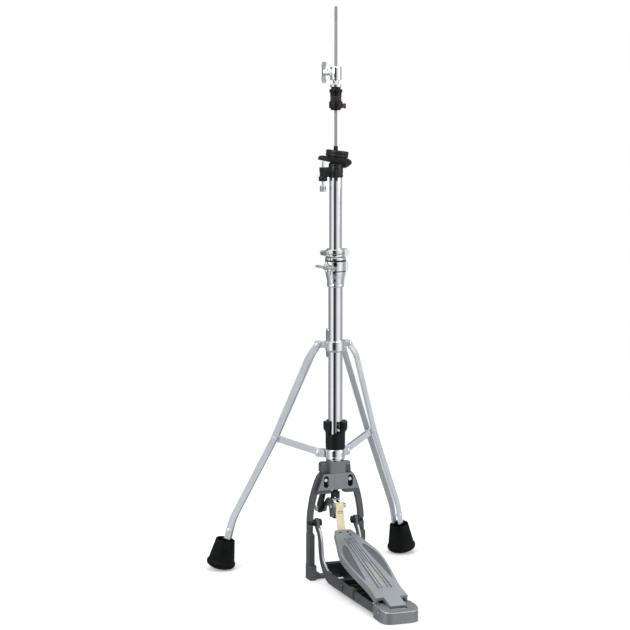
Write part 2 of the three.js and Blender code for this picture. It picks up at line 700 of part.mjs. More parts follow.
function leg(side, prefix) {
  const turn = rad(side * LEG_AZIMUTH);
  const place = (geometry) => geometry.rotateZ(-turn);
  // The front strip faces the player, the rear strip faces away.
  const frontSign = side > 0 ? 1 : -1;
  add(`${prefix}_leg_front_strip`, place(strip(frontSign)), ZINC);
  add(`${prefix}_leg_rear_strip`, place(strip(-frontSign)), ZINC);
  const shoe = closed(foot());
  shoe.rotateX(footTilt).translate(0, footBottom[0], footBottom[1]);
  const legRoom = slabYZ(outline([
    [217, 100], [236, 100], [240, 40], [216, 40],
  ]), -11.2, 11.2);
  add(`${prefix}_foot`, place(cut(shoe, legRoom)), RUBBER);
  const pin = join(
    rodX(3, -13, 13, LEG_HINGE[0], LEG_HINGE[1], 12),
    rodX(4.6, 12.2, 14, LEG_HINGE[0], LEG_HINGE[1], 14),
    rodX(4.6, -14, -12.2, LEG_HINGE[0], LEG_HINGE[1], 14),
  );
  add(`${prefix}_leg_pin`, place(pin), ZINC);
  const rivet = join(
    rodX(2.6, -12.5, 12.5, LEG_RIVET[0], LEG_RIVET[1], 12),
    rodX(4.6, 11.1, 13, LEG_RIVET[0], LEG_RIVET[1], 14),
    rodX(4.6, -13, -11.1, LEG_RIVET[0], LEG_RIVET[1], 14),
  );
  add(`${prefix}_leg_rivet`, place(rivet), ZINC);

  // Stay bar between the lower collar and the leg.
  const angle = Math.atan2(STAY_OUTER[1] - STAY_INNER[1], STAY_OUTER[0] - STAY_INNER[0]);
  const length = Math.hypot(STAY_OUTER[0] - STAY_INNER[0], STAY_OUTER[1] - STAY_INNER[1]);
  let bar = join(
    box(-4, 4, 0, length, -6.5, 6.5),
    rodX(6.5, -4, 4, 0, 0, 16),
    rodX(6.5, -4, 4, length, 0, 16),
  );
  bar = cut(
    bar,
    rodX(3.3, -20, 20, 0, 0, 14),
    box(-2.6, 2.6, 12, length - 14, -3.6, 20),
  );
  bar.rotateX(angle).translate(0, STAY_INNER[0], STAY_INNER[1]);
  add(`${prefix}_stay`, place(bar), ZINC);
  const stayPin = join(
    rodX(3, -10, 10, STAY_INNER[0], STAY_INNER[1], 12),
    rodX(4.8, 9.3, 11.4, STAY_INNER[0], STAY_INNER[1], 14),
    rodX(4.8, -11.4, -9.3, STAY_INNER[0], STAY_INNER[1], 14),
  );
  add(`${prefix}_stay_pin`, place(stayPin), ZINC);
}
leg(-1, 'left');
leg(1, 'right');

// Wing bolt at the back of the leg collar, wings upright.
add('leg_collar_wing_bolt', wingBolt(3, 20, 6, 13, 30, 12)
  .rotateZ(Math.PI / 2).translate(0, 14.6, 475), CHROME);

// ---------- height socket, upper tube and memory lock ----------
let socket = ring([
  [LOWER_R + GAP, SOCKET_Z0],
  [16.6, SOCKET_Z0],
  [17, SOCKET_Z0 + 2],
  [17.4, 609],
  [20.6, 625],
  [20.6, 626.2],
  [20, 626.8],
  [21, 628],
  [21, 646.5],
  [20, 647.2],
  [20, 648.6],
  [21, 649.2],
  [21, SOCKET_Z1],
  [13, SOCKET_Z1],
  [13, LOWER_Z1 + GAP],
  [LOWER_R + GAP, LOWER_Z1 + GAP],
], 24);
const lugTurn = rad(-140);
const lug = join(box(8, 30, -8.2, 8.2, 627, 648), rodX(10.2, 26, 31.5, 0, 637.5, 18)).rotateZ(lugTurn);
const hinge = join(box(14, 25, -6, 6, 627, 648), rodX(5, 21, 25.5, 0, 640, 14));
socket = join(socket, lug, hinge);
socket = cut(
  socket,
  rod(LOWER_R + GAP, 500, LOWER_Z1 + GAP, 24),
  rod(13, 600, 700, 24),
  box(12, 35, -1.2, 1.2, 620, 662).rotateZ(lugTurn),
  rodX(3.3, 10, 36, 0, 637.5, 12).rotateZ(lugTurn),
  rod(2, -30, 0, 10).rotateX(Math.PI / 2).translate(0, 0, 620.5).rotateZ(rad(-20.6)),
);
add('tube_socket', socket, CHROME);

add('upper_tube', tube(UPPER_BORE, UPPER_R, UPPER_Z0, UPPER_Z1), CHROME);

let lock = join(
  ring([
    [UPPER_R + GAP, LOCK_Z0],
    [19, LOCK_Z0],
    [19.5, LOCK_Z0 + 1],
    [19.5, LOCK_Z1 - 1],
    [19, LOCK_Z1],
    [UPPER_R + GAP, LOCK_Z1],
  ], 24),
  box(15, 27, -5, 5, LOCK_Z0 + 1, LOCK_Z1),
  box(12, 27, -7, 7, LOCK_Z0 + 2, LOCK_Z1 - 2).rotateZ(rad(-165)),
);
lock = cut(
  lock,
  rod(UPPER_R + GAP, 600, 700, 24),
  box(10, 40, -1.2, 1.2, LOCK_Z0 - 1, LOCK_Z1 + 1).rotateZ(rad(-165)),
  rod(3.1, -30, 30, 12).rotateX(Math.PI / 2).translate(24.3, 0, 663.5).rotateZ(rad(-165)),
  rod(1.2, LOCK_Z0 - 1, LOCK_Z1 + 1, 10).translate(23.5, 0, 0),
);
add('memory_lock', lock, CHROME);
add('memory_lock_screw', join(
  rod(2.7, -6.6, 10, 12).rotateX(Math.PI / 2),
  rod(5.4, 7.4, 13, 16).rotateX(Math.PI / 2),
).translate(24.3, 0, 663.5).rotateZ(rad(-165)), CHROME);

add('height_wing_bolt', wingBolt(2.9, 12, 6, 12, 22, 10)
  .rotateX(rad(-95)).translate(20.5, 0, 637.5).rotateZ(lugTurn), CHROME);

// ---------- cymbal seat ----------
// Base clamped on the tube top, with a boss on the left for the tilt screw.
let seatBase = join(
  lathe([[0, 813.5], [13.6, 813.5], [14.6, 815], [14.6, 836], [12.5, 839.3], [0, 839.5]], 24),
  box(-34, 0, -6.5, 6.5, 826, 834),
  rod(6.6, 808, 834, 16).translate(TILT_SCREW_X, 0, 0),
  rod(8.6, 807, 816, 18).translate(TILT_SCREW_X, 0, 0),
  box(-28, -8, -4, 4, 815, 824),
  box(-7, -2.5, -17.5, -12.9, 807.5, 830),
);
seatBase = cut(
  seatBase,
  rod(UPPER_R + GAP, 800, UPPER_Z1 + GAP, 24),
  rod(4.6, 800, 850, 16),
  rod(2.9, 790, 840, 14).translate(TILT_SCREW_X, 0, 0),
);
add('seat_base', seatBase, BLACK);

// Tilting cup and cymbal washer, turned about Y on the pivot height.
const tilted = (geometry) =>
  geometry.translate(0, 0, -SEAT_PIVOT_Z).rotateY(rad(SEAT_TILT)).translate(0, 0, SEAT_PIVOT_Z);
let tilter = join(
  lathe([[0, 842.6], [15.5, 842.6], [20, 848], [21.5, 854], [0, 854]], 24),
  slabXZ(outline([
    [-14, 842.6], [-36.5, 844.5], [-36, 851], [-31, 854], [22, 854], [30, 850], [30.5, 844], [22, 836.5],
    [16.6, 834], [16.6, 842.6],
  ]), -7.5, 7.5),
);
tilter = cut(tilter, rod(8.4, 820, 870, 18));
add('seat_tilter', tilted(tilter), BLACK);
add('seat_felt', tilted(ring([
  [10, 854.3],
  [21.6, 854.3],
  [22.5, 855.3],
  [22.5, 859.4],
  [21.9, 860],
  [22.5, 860.6],
  [22.5, 866.6],
  [21.7, 867.4],
  [10, 867.4],
], 24)), RUBBER);
// Plastic sleeve that keeps a cymbal off the rod.
add('rod_sleeve', tube(3.3, 4.3, 836.6, 876, 16), BLACK);
let tiltScrew = join(
  rod(2.4, 797, 846, 12),
  rod(6.4, 786, 797.5, 20),
).translate(TILT_SCREW_X, 0, 0);
add('tilt_screw', tiltScrew, ZINC);

// ---------- clutch ----------
let clutchBody = join(
  lathe([[0, 1005.3], [10.5, 1005.3], [11.5, 1006.5], [11.5, 1031], [10.5, 1032], [0, 1032]], 24),
  rodX(6.5, -18, -6, 0, 1021, 16),
  rod(5.6, 953, 1006, 20),
);
clutchBody = cut(
  clutchBody,
  rod(ROD_R + GAP, 940, 1040, 16),
  rodX(2.9, -30, -2, 0, 1021, 12),
);
add('clutch_body', clutchBody, CHROME);
add('clutch_wing_bolt', wingBolt(2.6, 14.3, 6, 9, 21, 8)
  .rotateZ(Math.PI).translate(-4.2, 0, 1021), CHROME);
add('clutch_lock_nut', cut(
  join(rod(7, 996.5, 1003.6, 6), rod(11.5, 992.3, 997, 24)),
  rod(5.9, 980, 1010, 20),
), CHROME);
add('clutch_upper_cap', ring([
  [5.9, 974.8],
  [11.2, 974.8],
  [11.4, 980.6],
  [12.9, 981.2],
  [12.9, 987.4],
  [9.6, 988],
  [9.6, 992],
  [5.9, 992],
], 24), BLACK);
add('clutch_felt', ring([
  [5.9, 964.5],
  [11.6, 964.5],
  [10.9, 969],
  [11.2, 974.5],
  [5.9, 974.5],
], 24), FELT);
let releaseNut = ring([
  [5.9, 946.6],
  [9.8, 946.6],
  [10, 950],
  [13.4, 950.4],
  [13.4, 963],
  [12.4, 964.2],
  [5.9, 964.2],
], 24);
releaseNut = cut(releaseNut, box(9.5, 16, -5.2, 5.2, 949.5, 961));
add('clutch_release_nut', releaseNut, BLACK);
const leverOutline = outline([[10, -4], [14, -4], [20, -6.5], [20, 4.5], [14, 3.6], [10, 3.6]]);
add('release_lever', slabXZ(leverOutline, -4.5, 4.5).translate(0, 0, 955.6), RED);

export default group;
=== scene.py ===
import json
import math

import bmesh
import bpy
from mathutils import Matrix, Vector

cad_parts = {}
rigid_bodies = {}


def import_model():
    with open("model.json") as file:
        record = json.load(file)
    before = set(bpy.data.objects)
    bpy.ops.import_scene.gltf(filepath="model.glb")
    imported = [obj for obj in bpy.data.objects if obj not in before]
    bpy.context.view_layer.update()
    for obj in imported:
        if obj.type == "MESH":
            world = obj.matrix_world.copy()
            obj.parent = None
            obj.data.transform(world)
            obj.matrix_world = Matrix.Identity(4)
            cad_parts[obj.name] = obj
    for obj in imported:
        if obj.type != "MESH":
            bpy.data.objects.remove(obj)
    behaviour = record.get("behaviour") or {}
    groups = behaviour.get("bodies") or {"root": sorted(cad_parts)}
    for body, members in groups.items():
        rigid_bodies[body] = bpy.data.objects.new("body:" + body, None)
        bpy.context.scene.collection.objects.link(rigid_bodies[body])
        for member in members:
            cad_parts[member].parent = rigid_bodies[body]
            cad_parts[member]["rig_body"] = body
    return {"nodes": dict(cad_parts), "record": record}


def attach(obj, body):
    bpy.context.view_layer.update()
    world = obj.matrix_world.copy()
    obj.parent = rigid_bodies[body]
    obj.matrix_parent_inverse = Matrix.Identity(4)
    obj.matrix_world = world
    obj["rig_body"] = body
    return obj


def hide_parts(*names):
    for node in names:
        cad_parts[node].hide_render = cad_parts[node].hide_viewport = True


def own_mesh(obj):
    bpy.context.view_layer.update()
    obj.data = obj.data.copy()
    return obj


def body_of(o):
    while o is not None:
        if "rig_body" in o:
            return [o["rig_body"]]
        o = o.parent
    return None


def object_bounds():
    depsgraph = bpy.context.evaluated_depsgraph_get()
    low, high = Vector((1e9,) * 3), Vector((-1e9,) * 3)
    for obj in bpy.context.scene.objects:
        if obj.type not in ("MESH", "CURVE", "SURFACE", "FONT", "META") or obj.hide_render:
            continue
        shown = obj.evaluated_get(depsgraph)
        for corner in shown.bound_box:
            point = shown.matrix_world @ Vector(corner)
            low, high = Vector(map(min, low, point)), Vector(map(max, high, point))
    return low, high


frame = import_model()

CAD_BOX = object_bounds()
MM = 0.001
SCENE = bpy.context.scene
WHITE = (1, 1, 1, 1)


# ---------- camera ----------
def aim(name, data, location, direction):
    """Puts a camera or lamp in the scene, looking along a direction."""
    ob = bpy.data.objects.new(name, data)
    SCENE.collection.objects.link(ob)
    ob.location = location
    ob.rotation_mode = "QUATERNION"
    ob.rotation_quaternion = Vector(direction).to_track_quat("-Z", "Y")
    return ob


def make_camera():
    data = bpy.data.cameras.new("camera")
    data.lens = 115.1
    data.sensor_width = 36
    data.clip_start = 0.05
    data.clip_end = 100
    SCENE.camera = aim("camera", data, (-1.4100, -3.7432, 1.0999), (0.3395, 0.9302, -0.1392))


make_camera()


# ---------- shader nodes ----------
def feed(tree, target, inputs):
    """Sets a node's inputs. A socket among the values is linked, anything else becomes the input's value."""
    for key, value in inputs.items():
        if isinstance(value, bpy.types.NodeSocket):
            tree.links.new(value, target.inputs[key])
        else:
            target.inputs[key].default_value = value


def node(tree, kind, inputs=None, output=0, **settings):
    """Adds a node and returns one of its outputs."""
    made = tree.nodes.new("ShaderNode" + kind)
    for key, value in settings.items():
        setattr(made, key, value)
    feed(tree, made, inputs or {})
    return made.outputs[output] if made.outputs else None


def colour_ramp(tree, factor, *stops):
    """Adds a colour ramp, given as places and colours in rising order."""
    ramp = tree.nodes.new("ShaderNodeValToRGB")
    marks = ramp.color_ramp.elements
    for mark, (place, colour) in ((marks[0], stops[0]), (marks[1], stops[-1])):
        mark.position = place
        mark.color = (*colour, 1)
    for place, colour in stops[1:-1]:
        marks.new(place).color = (*colour, 1)
    tree.links.new(factor, ramp.inputs["Fac"])
    return ramp.outputs["Color"]


# ---------- light and floor ----------
PANELS = [(-150, 0.18), (-128, 0.20), (-102, 0.34), (-80, 0.62), (-62, 1.0), (-43, 0.90), (-33, 0.35), (-27, 0.03),
          (-6, 0.015), (1, 0.10), (9, 0.32), (24, 0.66), (42, 0.92), (62, 1.0), (80, 0.66), (100, 0.36), (118, 0.40),
          (138, 0.62), (158, 0.40)]
SEAM = (0.30, 0.30, 0.30 * 1.03)


def make_world():
    """Soft white room. What shows in bright metal changes with direction, as between a studio's panels and flags."""
    world = bpy.data.worlds.new("studio")
    SCENE.world = world
    world.use_nodes = True
    tree = world.node_tree
    tree.nodes.clear()
    direction = node(tree, "TexCoord", output="Generated")

    def dot(vector):
        return node(tree, "VectorMath", {0: direction, 1: vector}, "Value", operation="DOT_PRODUCT")

    def span(value, low, high):
        return node(tree, "MapRange", {"From Min": low, "From Max": high, "Value": value}, "Result")

    angle = node(tree, "Math", {0: dot((0.936, -0.3525, 0)), 1: dot((-0.3525, -0.936, 0))}, operation="ARCTAN2")
    around = colour_ramp(tree, span(angle, -math.pi, math.pi), (0, SEAM),
                         *[((turned + 180) / 360, (v * 0.985, v, v * 1.02)) for turned, v in PANELS], (1, SEAM))
    rise = dot((0, 0, 1))
    steep = span(node(tree, "Math", {0: rise}, operation="ABSOLUTE"), 0.35, 0.75)
    poles = colour_ramp(tree, span(rise, -1, 1), (0.1, (0.34, 0.36, 0.38)), (0.32, (0.46, 0.48, 0.50)),
                        (0.8, (0.88, 0.90, 0.92)))
    blend = node(tree, "Mix", {"A": around, "B": poles, "Factor": steep}, "Result", data_type="RGBA")
    mirror = node(tree, "Background", {"Color": blend})
    even = node(tree, "Background", {"Color": WHITE, "Strength": 0.62})
    white = node(tree, "Background", {"Color": WHITE})
    path = tree.nodes.new("ShaderNodeLightPath").outputs
    glossy = node(tree, "MixShader", {"Fac": path["Is Glossy Ray"], 1: even, 2: mirror})
    seen = node(tree, "MixShader", {"Fac": path["Is Camera Ray"], 1: glossy, 2: white})
    node(tree, "OutputWorld", {"Surface": seen})


def area_light(name, place, target, size, power):
    data = bpy.data.lights.new(name, "AREA")
    data.shape = "RECTANGLE"
    data.size, data.size_y = size
    data.energy = power
    aim(name, data, place, Vector(target) - Vector(place)).visible_camera = False


make_world()
area_light("key", (-2.6, -1.4, 2.3), (0, 0, 0.5), (1.2, 2.0), 50)
area_light("fill", (2.4, -1.8, 1.4), (0, 0, 0.5), (1.2, 1.8), 26)
area_light("top", (0.2, 0.3, 3.0), (0, 0, 0.4), (1.8, 1.8), 22)
SCENE.view_settings.view_transform = "Standard"
SCENE.view_settings.look = "None"


# ---------- materials ----------
LOOK = {}
BRUSHED = (1, 1, 0.35)
DRAWN = (1, 1, 0.1)


def new_material(name):
    m = bpy.data.materials.new(name)
    m.use_nodes = True
    return m, m.node_tree, m.node_tree.nodes["Principled BSDF"]


def material(name, dark, light, metal, rough, spread=0.05, scale=9.0, grain=400.0, bump=0.05, depth=0.2,
             stretch=(1, 1, 1), coat=0.0, sheen=0.0, level=0.5, speck=0.0, slot=None):
    """A noise-mottled finish: slow colour and roughness variation, with a fine grain in the normal."""
    m, tree, shader = new_material(name)
    coord = node(tree, "TexCoord", output="Object")
    coord = node(tree, "Mapping", {"Scale": stretch, "Vector": coord}, "Vector")
    slow = node(tree, "TexNoise", {"Scale": scale, "Detail": 6, "Roughness": 0.6, "Vector": coord}, "Fac")
    fine = node(tree, "TexNoise", {"Scale": grain, "Detail": 4, "Vector": coord}, "Fac")
    colour = colour_ramp(tree, slow, (0.3, dark), (0.68, light))
    if speck > 0:
        flake = colour_ramp(tree, fine, (0.52, (0, 0, 0)), (0.72, (speck, speck, speck)))
        colour = node(tree, "Mix", {"Factor": 1.0, "A": colour, "B": flake}, "Result", data_type="RGBA",
                      blend_type="ADD")
    roughness = node(tree, "MapRange", {"From Min": 0.3, "From Max": 0.7, "To Min": max(0.02, rough - spread),
                                        "To Max": min(1.0, rough + spread), "Value": slow}, "Result")
    relief = node(tree, "Bump", {"Strength": bump, "Distance": depth * MM, "Height": fine}, "Normal")
    feed(tree, shader, {"Base Color": colour, "Roughness": roughness, "Normal": relief, "Metallic": metal,
                        "Coat Weight": coat, "Coat Roughness": 0.12, "Sheen Weight": sheen,
                        "Specular IOR Level": level})
    LOOK[slot or name] = m


def webbing(name):
    """Cream woven strap: crossing yarns darken the gaps between them."""
    m, tree, shader = new_material(name)
    coord = node(tree, "TexCoord", output="Object")
    across, along = (node(tree, "TexWave", {"Scale": scale, "Distortion": 0.6, "Vector": coord}, "Fac",
                          bands_direction=axis) for axis, scale in (("X", 260), ("Z", 200)))
    both = node(tree, "Math", {0: across, 1: along}, operation="MULTIPLY")
    soil = node(tree, "TexNoise", {"Scale": 90, "Detail": 5, "Vector": coord}, "Fac")
    yarn = colour_ramp(tree, both, (0, (0.70, 0.62, 0.40)), (0.55, (0.93, 0.87, 0.64)))
    shade = colour_ramp(tree, soil, (0, (0.78, 0.74, 0.66)), (1, (1, 1, 1)))
    tint = node(tree, "Mix", {"Factor": 0.55, "A": yarn, "B": shade}, "Result", data_type="RGBA", blend_type="MULTIPLY")
    relief = node(tree, "Bump", {"Strength": 0.5, "Distance": 0.3 * MM, "Height": both}, "Normal")
    feed(tree, shader, {"Base Color": tint, "Normal": relief, "Roughness": 0.85, "Sheen Weight": 0.25})
    LOOK[name] = m


material("chrome", (0.84, 0.85, 0.87), (0.91, 0.91, 0.92), 1.0, 0.08, 0.03, 22, 60, 0.004, 0.01, slot="chrome_plate")
material("plating", (0.70, 0.74, 0.79), (0.80, 0.84, 0.89), 0.55, 0.34, 0.06, 18, 200, 0.03, 0.03, stretch=BRUSHED,
         slot="plated_steel")
material("shaded_plating", (0.50, 0.53, 0.58), (0.62, 0.65, 0.70), 0.65, 0.32, 0.06, 18, 200, 0.03, 0.03,
         stretch=BRUSHED, slot="shaded_steel")
material("centre_inlay", (0.34, 0.32, 0.29), (0.44, 0.41, 0.37), 0.3, 0.45, 0.05, 30, 1200, 0.1)
material("cast_steel", (0.30, 0.32, 0.35), (0.44, 0.46, 0.49), 0.75, 0.36, 0.06, 60, 300, 0.05, 0.03)
material("charcoal_paint", (0.066, 0.070, 0.077), (0.094, 0.100, 0.108), 0.35, 0.44, 0.06, 16, 1500, 0.35, 0.12,
         coat=0.15, speck=0.05, slot="dark_paint")
material("grey_paint", (0.160, 0.180, 0.192), (0.205, 0.228, 0.240), 0.35, 0.40, 0.06, 16, 1500, 0.35, 0.12, coat=0.15,
         speck=0.08)
material("hub_paint", (0.125, 0.140, 0.150), (0.165, 0.180, 0.192), 0.35, 0.42, 0.06, 16, 1500, 0.35, 0.12, coat=0.15,
         speck=0.07)
material("board_paint", (0.270, 0.295, 0.320), (0.345, 0.372, 0.400), 0.55, 0.38, 0.06, 10, 1600, 0.18, 0.10, coat=0.25,
         speck=0.05)
material("board_panel", (0.096, 0.107, 0.120), (0.132, 0.145, 0.162), 0.35, 0.50, 0.06, 14, 1300, 0.45, 0.16,
         speck=0.07)
material("heel_paint", (0.175, 0.180, 0.190), (0.230, 0.235, 0.246), 0.45, 0.40, 0.05, 12, 1600, 0.22, 0.10, coat=0.25,
         speck=0.05)
# Lighter, shinier colours for bevel faces and edge strips: painted highlights along the edges.
material("edge_highlight", (0.38, 0.40, 0.42), (0.56, 0.58, 0.60), 0.85, 0.30, 0.06, 60, 700, 0.1, slot="edge_light")
material("bright_edge_highlight", (0.62, 0.64, 0.66), (0.74, 0.76, 0.78), 0.5, 0.35, 0.05, 60, 700, 0.05, slot="edge_bright")
material("grey_edge_highlight", (0.14, 0.15, 0.16), (0.24, 0.25, 0.26), 0.6, 0.34, 0.06, 60, 700, 0.1, slot="edge_grey")
material("bright_steel", (0.58, 0.59, 0.61), (0.74, 0.75, 0.77), 1.0, 0.28, 0.05, 40, 200, 0.02, 0.05)
material("lever_steel", (0.17, 0.185, 0.215), (0.26, 0.28, 0.32), 0.9, 0.30, 0.06, 40, 400, 0.08)
material("rod_steel", (0.27, 0.27, 0.275), (0.33, 0.33, 0.335), 0.5, 0.55, 0.05, 30, 200, 0.01, 0.02, stretch=DRAWN)
material("black_metal", (0.006, 0.007, 0.008), (0.013, 0.014, 0.016), 0.0, 0.36, 0.08, 25, 900, 0.12, 0.15, coat=0.1,
         level=0.3)
material("black_plastic", (0.003, 0.004, 0.004), (0.008, 0.009, 0.009), 0.0, 0.34, 0.06, 25, 800, 0.12, 0.12,
         level=0.22)
material("foot_rubber", (0.002, 0.003, 0.003), (0.006, 0.007, 0.007), 0.0, 0.60, 0.08, 30, 600, 0.30, 0.20, level=0.12)
material("seat_rubber", (0.007, 0.008, 0.008), (0.017, 0.018, 0.018), 0.0, 0.36, 0.08, 40, 700, 0.22, 0.12, level=0.28)
material("felt", (0.012, 0.010, 0.011), (0.035, 0.030, 0.032), 0.0, 0.95, 0.03, 160, 1200, 0.9, 0.5, sheen=0.3,
         level=0.1)
webbing("strap_web")
material("red_plastic", (0.105, 0.006, 0.012), (0.160, 0.012, 0.020), 0.0, 0.30, 0.05, 30, 700, 0.08, coat=0.3)
# Near-black for dark sheets laid in grooves, gaps and slots: painted shadow.
material("painted_shadow", (0.004, 0.004, 0.005), (0.010, 0.010, 0.011), 0.0, 0.7, 0.05, 30, 500, 0.1, level=0.1, slot="shadow")
material("floor", (0.86, 0.86, 0.86), (0.89, 0.89, 0.89), 0.0, 0.75, 0.05, 3, 60, 0.02, level=0.1)
floor_tree = LOOK["floor"].node_tree
feed(floor_tree, floor_tree.nodes["Principled BSDF"], {"Emission Color": WHITE, "Emission Strength": 0.28})


# ---------- shapes, drawn in millimetres ----------
def shape():
    return bmesh.new()


def lathe(profile, seg=64):
    """Turns (r, z) points round Z; a profile whose ends meet makes a ring, otherwise the ends close on the axis."""
    bm = shape()
    loop = profile[0] == profile[-1]
    rows = []
    for r, z in profile[:-1] if loop else profile:
        if r < 1e-6:
            rows.append([bm.verts.new((0, 0, z))])
        else:
            rows.append([bm.verts.new((r * math.cos(2 * math.pi * i / seg), r * math.sin(2 * math.pi * i / seg), z))
                         for i in range(seg)])
    for a, b in zip(rows, rows[1:] + rows[:1] if loop else rows[1:]):
        if len(a) == 1 and len(b) == 1:
            continue
        for i in range(seg):
            j = (i + 1) % seg
            if len(a) == 1:
                bm.faces.new((a[0], b[j], b[i]))
            elif len(b) == 1:
                bm.faces.new((a[i], a[j], b[0]))
            else:
                bm.faces.new((a[i], a[j], b[j], b[i]))
    if not loop:
        for row in (rows[0], rows[-1]):
            if len(row) > 1:
                bm.faces.new(row)
    bmesh.ops.recalc_face_normals(bm, faces=bm.faces)
    return bm


def ring(profile, seg=64):
    return lathe([*profile, profile[0]], seg)


def tube(inner, outer, z0, z1, seg=72):
    return ring([(inner, z0), (outer, z0), (outer, z1), (inner, z1)], seg)


def core(r, z0, z1, seg=72):
    """A plain cylinder along Z, mostly used to clear a bore."""
    return lathe([(0, z0), (r, z0), (r, z1), (0, z1)], seg)


def rod(r, z0, z1, seg=40, soft=0.5):
    """A round bar along Z with chamfered ends."""
    c = min(soft, r * 0.4, abs(z1 - z0) * 0.3)
    return lathe([(0, z0), (r - c, z0), (r, z0 + c), (r, z1 - c), (r - c, z1), (0, z1)], seg)


def place(bm, matrix):
    bmesh.ops.transform(bm, matrix=matrix, verts=bm.verts)
    if matrix.determinant() < 0:
        bmesh.ops.reverse_faces(bm, faces=bm.faces)
    return bm


def move(bm, x, y, z):
    return place(bm, Matrix.Translation((x, y, z)))


def turn(bm, axis, degrees):
    return place(bm, Matrix.Rotation(math.radians(degrees), 4, axis))


def on_side(bm, s):
    """Leaves a right-hand shape as it is, or mirrors it to the left where s is negative."""
    return bm if s > 0 else place(bm, Matrix.Scale(-1, 4, (1, 0, 0)))


def rod_x(r, x0, x1, y, z, seg=40, soft=0.5):
    return move(turn(rod(r, x0, x1, seg, soft), "Y", 90), 0, y, z)


def rod_y(r, y0, y1, x, z, seg=40, soft=0.5):
    return move(turn(rod(r, -y1, -y0, seg, soft), "X", 90), x, 0, z)


def box(x0, x1, y0, y1, z0, z1):
    bm = shape()
    bmesh.ops.create_cube(bm, size=1)
    bmesh.ops.scale(bm, vec=(x1 - x0, y1 - y0, z1 - z0), verts=bm.verts)
    return move(bm, (x0 + x1) / 2, (y0 + y1) / 2, (z0 + z1) / 2)


def slab(points, low, high, plane="XY"):
    """Pushes a flat outline through a thickness. The plane names the outline's two axes."""
    bm = shape()

    def at(p, h):
        return {"XY": (p[0], p[1], h), "XZ": (p[0], h, p[1]), "YZ": (h, p[0], p[1])}[plane]

    low_row = [bm.verts.new(at(p, low)) for p in points]
    high_row = [bm.verts.new(at(p, high)) for p in points]
    bm.faces.new(low_row)
    bm.faces.new(high_row)
    for i in range(len(points)):
        j = (i + 1) % len(points)
        bm.faces.new((low_row[i], low_row[j], high_row[j], high_row[i]))
    bmesh.ops.recalc_face_normals(bm, faces=bm.faces)
    return bm


def swept(rows):
    """Skins a row of equal outlines, given as points, and closes both ends."""
    bm = shape()
    rows = [[bm.verts.new(p) for p in row] for row in rows]
    n = len(rows[0])
    for a, b in zip(rows, rows[1:]):
        for k in range(n):
            bm.faces.new((a[k], a[(k + 1) % n], b[(k + 1) % n], b[k]))
    bm.faces.new(rows[0])
    bm.faces.new(rows[-1])
    bmesh.ops.recalc_face_normals(bm, faces=bm.faces)
    return bm


def smooth_line(points, steps=6, closed=True):
    """A Catmull-Rom curve through the points."""
    n = len(points)
    out = []
    for i in range(n if closed else n - 1):
        p0, p1, p2, p3 = (Vector(points[(i + k) % n if closed else min(max(i + k, 0), n - 1)]) for k in (-1, 0, 1, 2))
        for s in range(steps):
            t = s / steps
            out.append(0.5 * (2 * p1 + (p2 - p0) * t + (2 * p0 - 5 * p1 + 4 * p2 - p3) * t * t
                              + (3 * p1 - p0 - 3 * p2 + p3) * t ** 3))
    if not closed:
        out.append(Vector(points[-1]))
    return [tuple(p) for p in out]


def corner(p, a, b, reach, steps):
    """A curve round the corner at p, from the arm a to the arm b."""
    start = p + a.normalized() * reach
    end = p + b.normalized() * reach
    shares = [s / steps for s in range(steps + 1)]
    return [start * (1 - t) ** 2 + p * 2 * t * (1 - t) + end * t ** 2 for t in shares]


def round_outline(points, radii, steps=5):
    """Rounds the corners of an outline; radii is one number or one per corner."""
    out = []
    for i, point in enumerate(points):
        p = Vector(point)
        a = Vector(points[i - 1]) - p
        b = Vector(points[(i + 1) % len(points)]) - p
        r = radii[i] if isinstance(radii, list) else radii
        reach = min(r, a.length * 0.45, b.length * 0.45)
        out += [tuple(q) for q in (corner(p, a, b, reach, steps) if reach >= 0.05 else [p])]
    return out


def round_rect(x0, y0, x1, y1, radii, steps=5):
    return round_outline([(x0, y0), (x1, y0), (x1, y1), (x0, y1)], radii, steps)


def plate(x0, y0, x1, y1, radii, low, high, plane="XY", steps=5):
    """A rectangle with rounded corners, pushed through a thickness."""
    return slab(round_rect(x0, y0, x1, y1, radii, steps), low, high, plane)


def joined(*shapes):
    """Puts several closed shells in one mesh."""
    out = shape()
    for bm in shapes:
        scratch = bpy.data.meshes.new("scratch")
        bm.to_mesh(scratch)
        bm.free()
        out.from_mesh(scratch)
        bpy.data.meshes.remove(scratch)
    return out


def as_object(name, bm):
    mesh = bpy.data.meshes.new(name)
    bm.to_mesh(mesh)
    bm.free()
    ob = bpy.data.objects.new(name, mesh)
    SCENE.collection.objects.link(ob)
    return ob


def _combine(base, tools, operation):
    """Runs a boolean against every tool in turn."""
    objects = [as_object("scratch", bm) for bm in (base, *tools)]
    for tool in objects[1:]:
        mod = objects[0].modifiers.new("cut", "BOOLEAN")
        mod.operation = operation
        mod.solver = "EXACT"
        mod.object = tool
    done = objects[0].evaluated_get(bpy.context.evaluated_depsgraph_get())
    out = shape()
    out.from_mesh(done.to_mesh())
    for ob in objects:
        mesh = ob.data
        bpy.data.objects.remove(ob)
        bpy.data.meshes.remove(mesh)
    bmesh.ops.dissolve_limit(out, angle_limit=math.radians(0.5), verts=out.verts, edges=out.edges)
    return out


def cut(base, *tools):
    return _combine(base, tools, "DIFFERENCE")


def fused(base, *tools):
    return _combine(base, tools, "UNION")


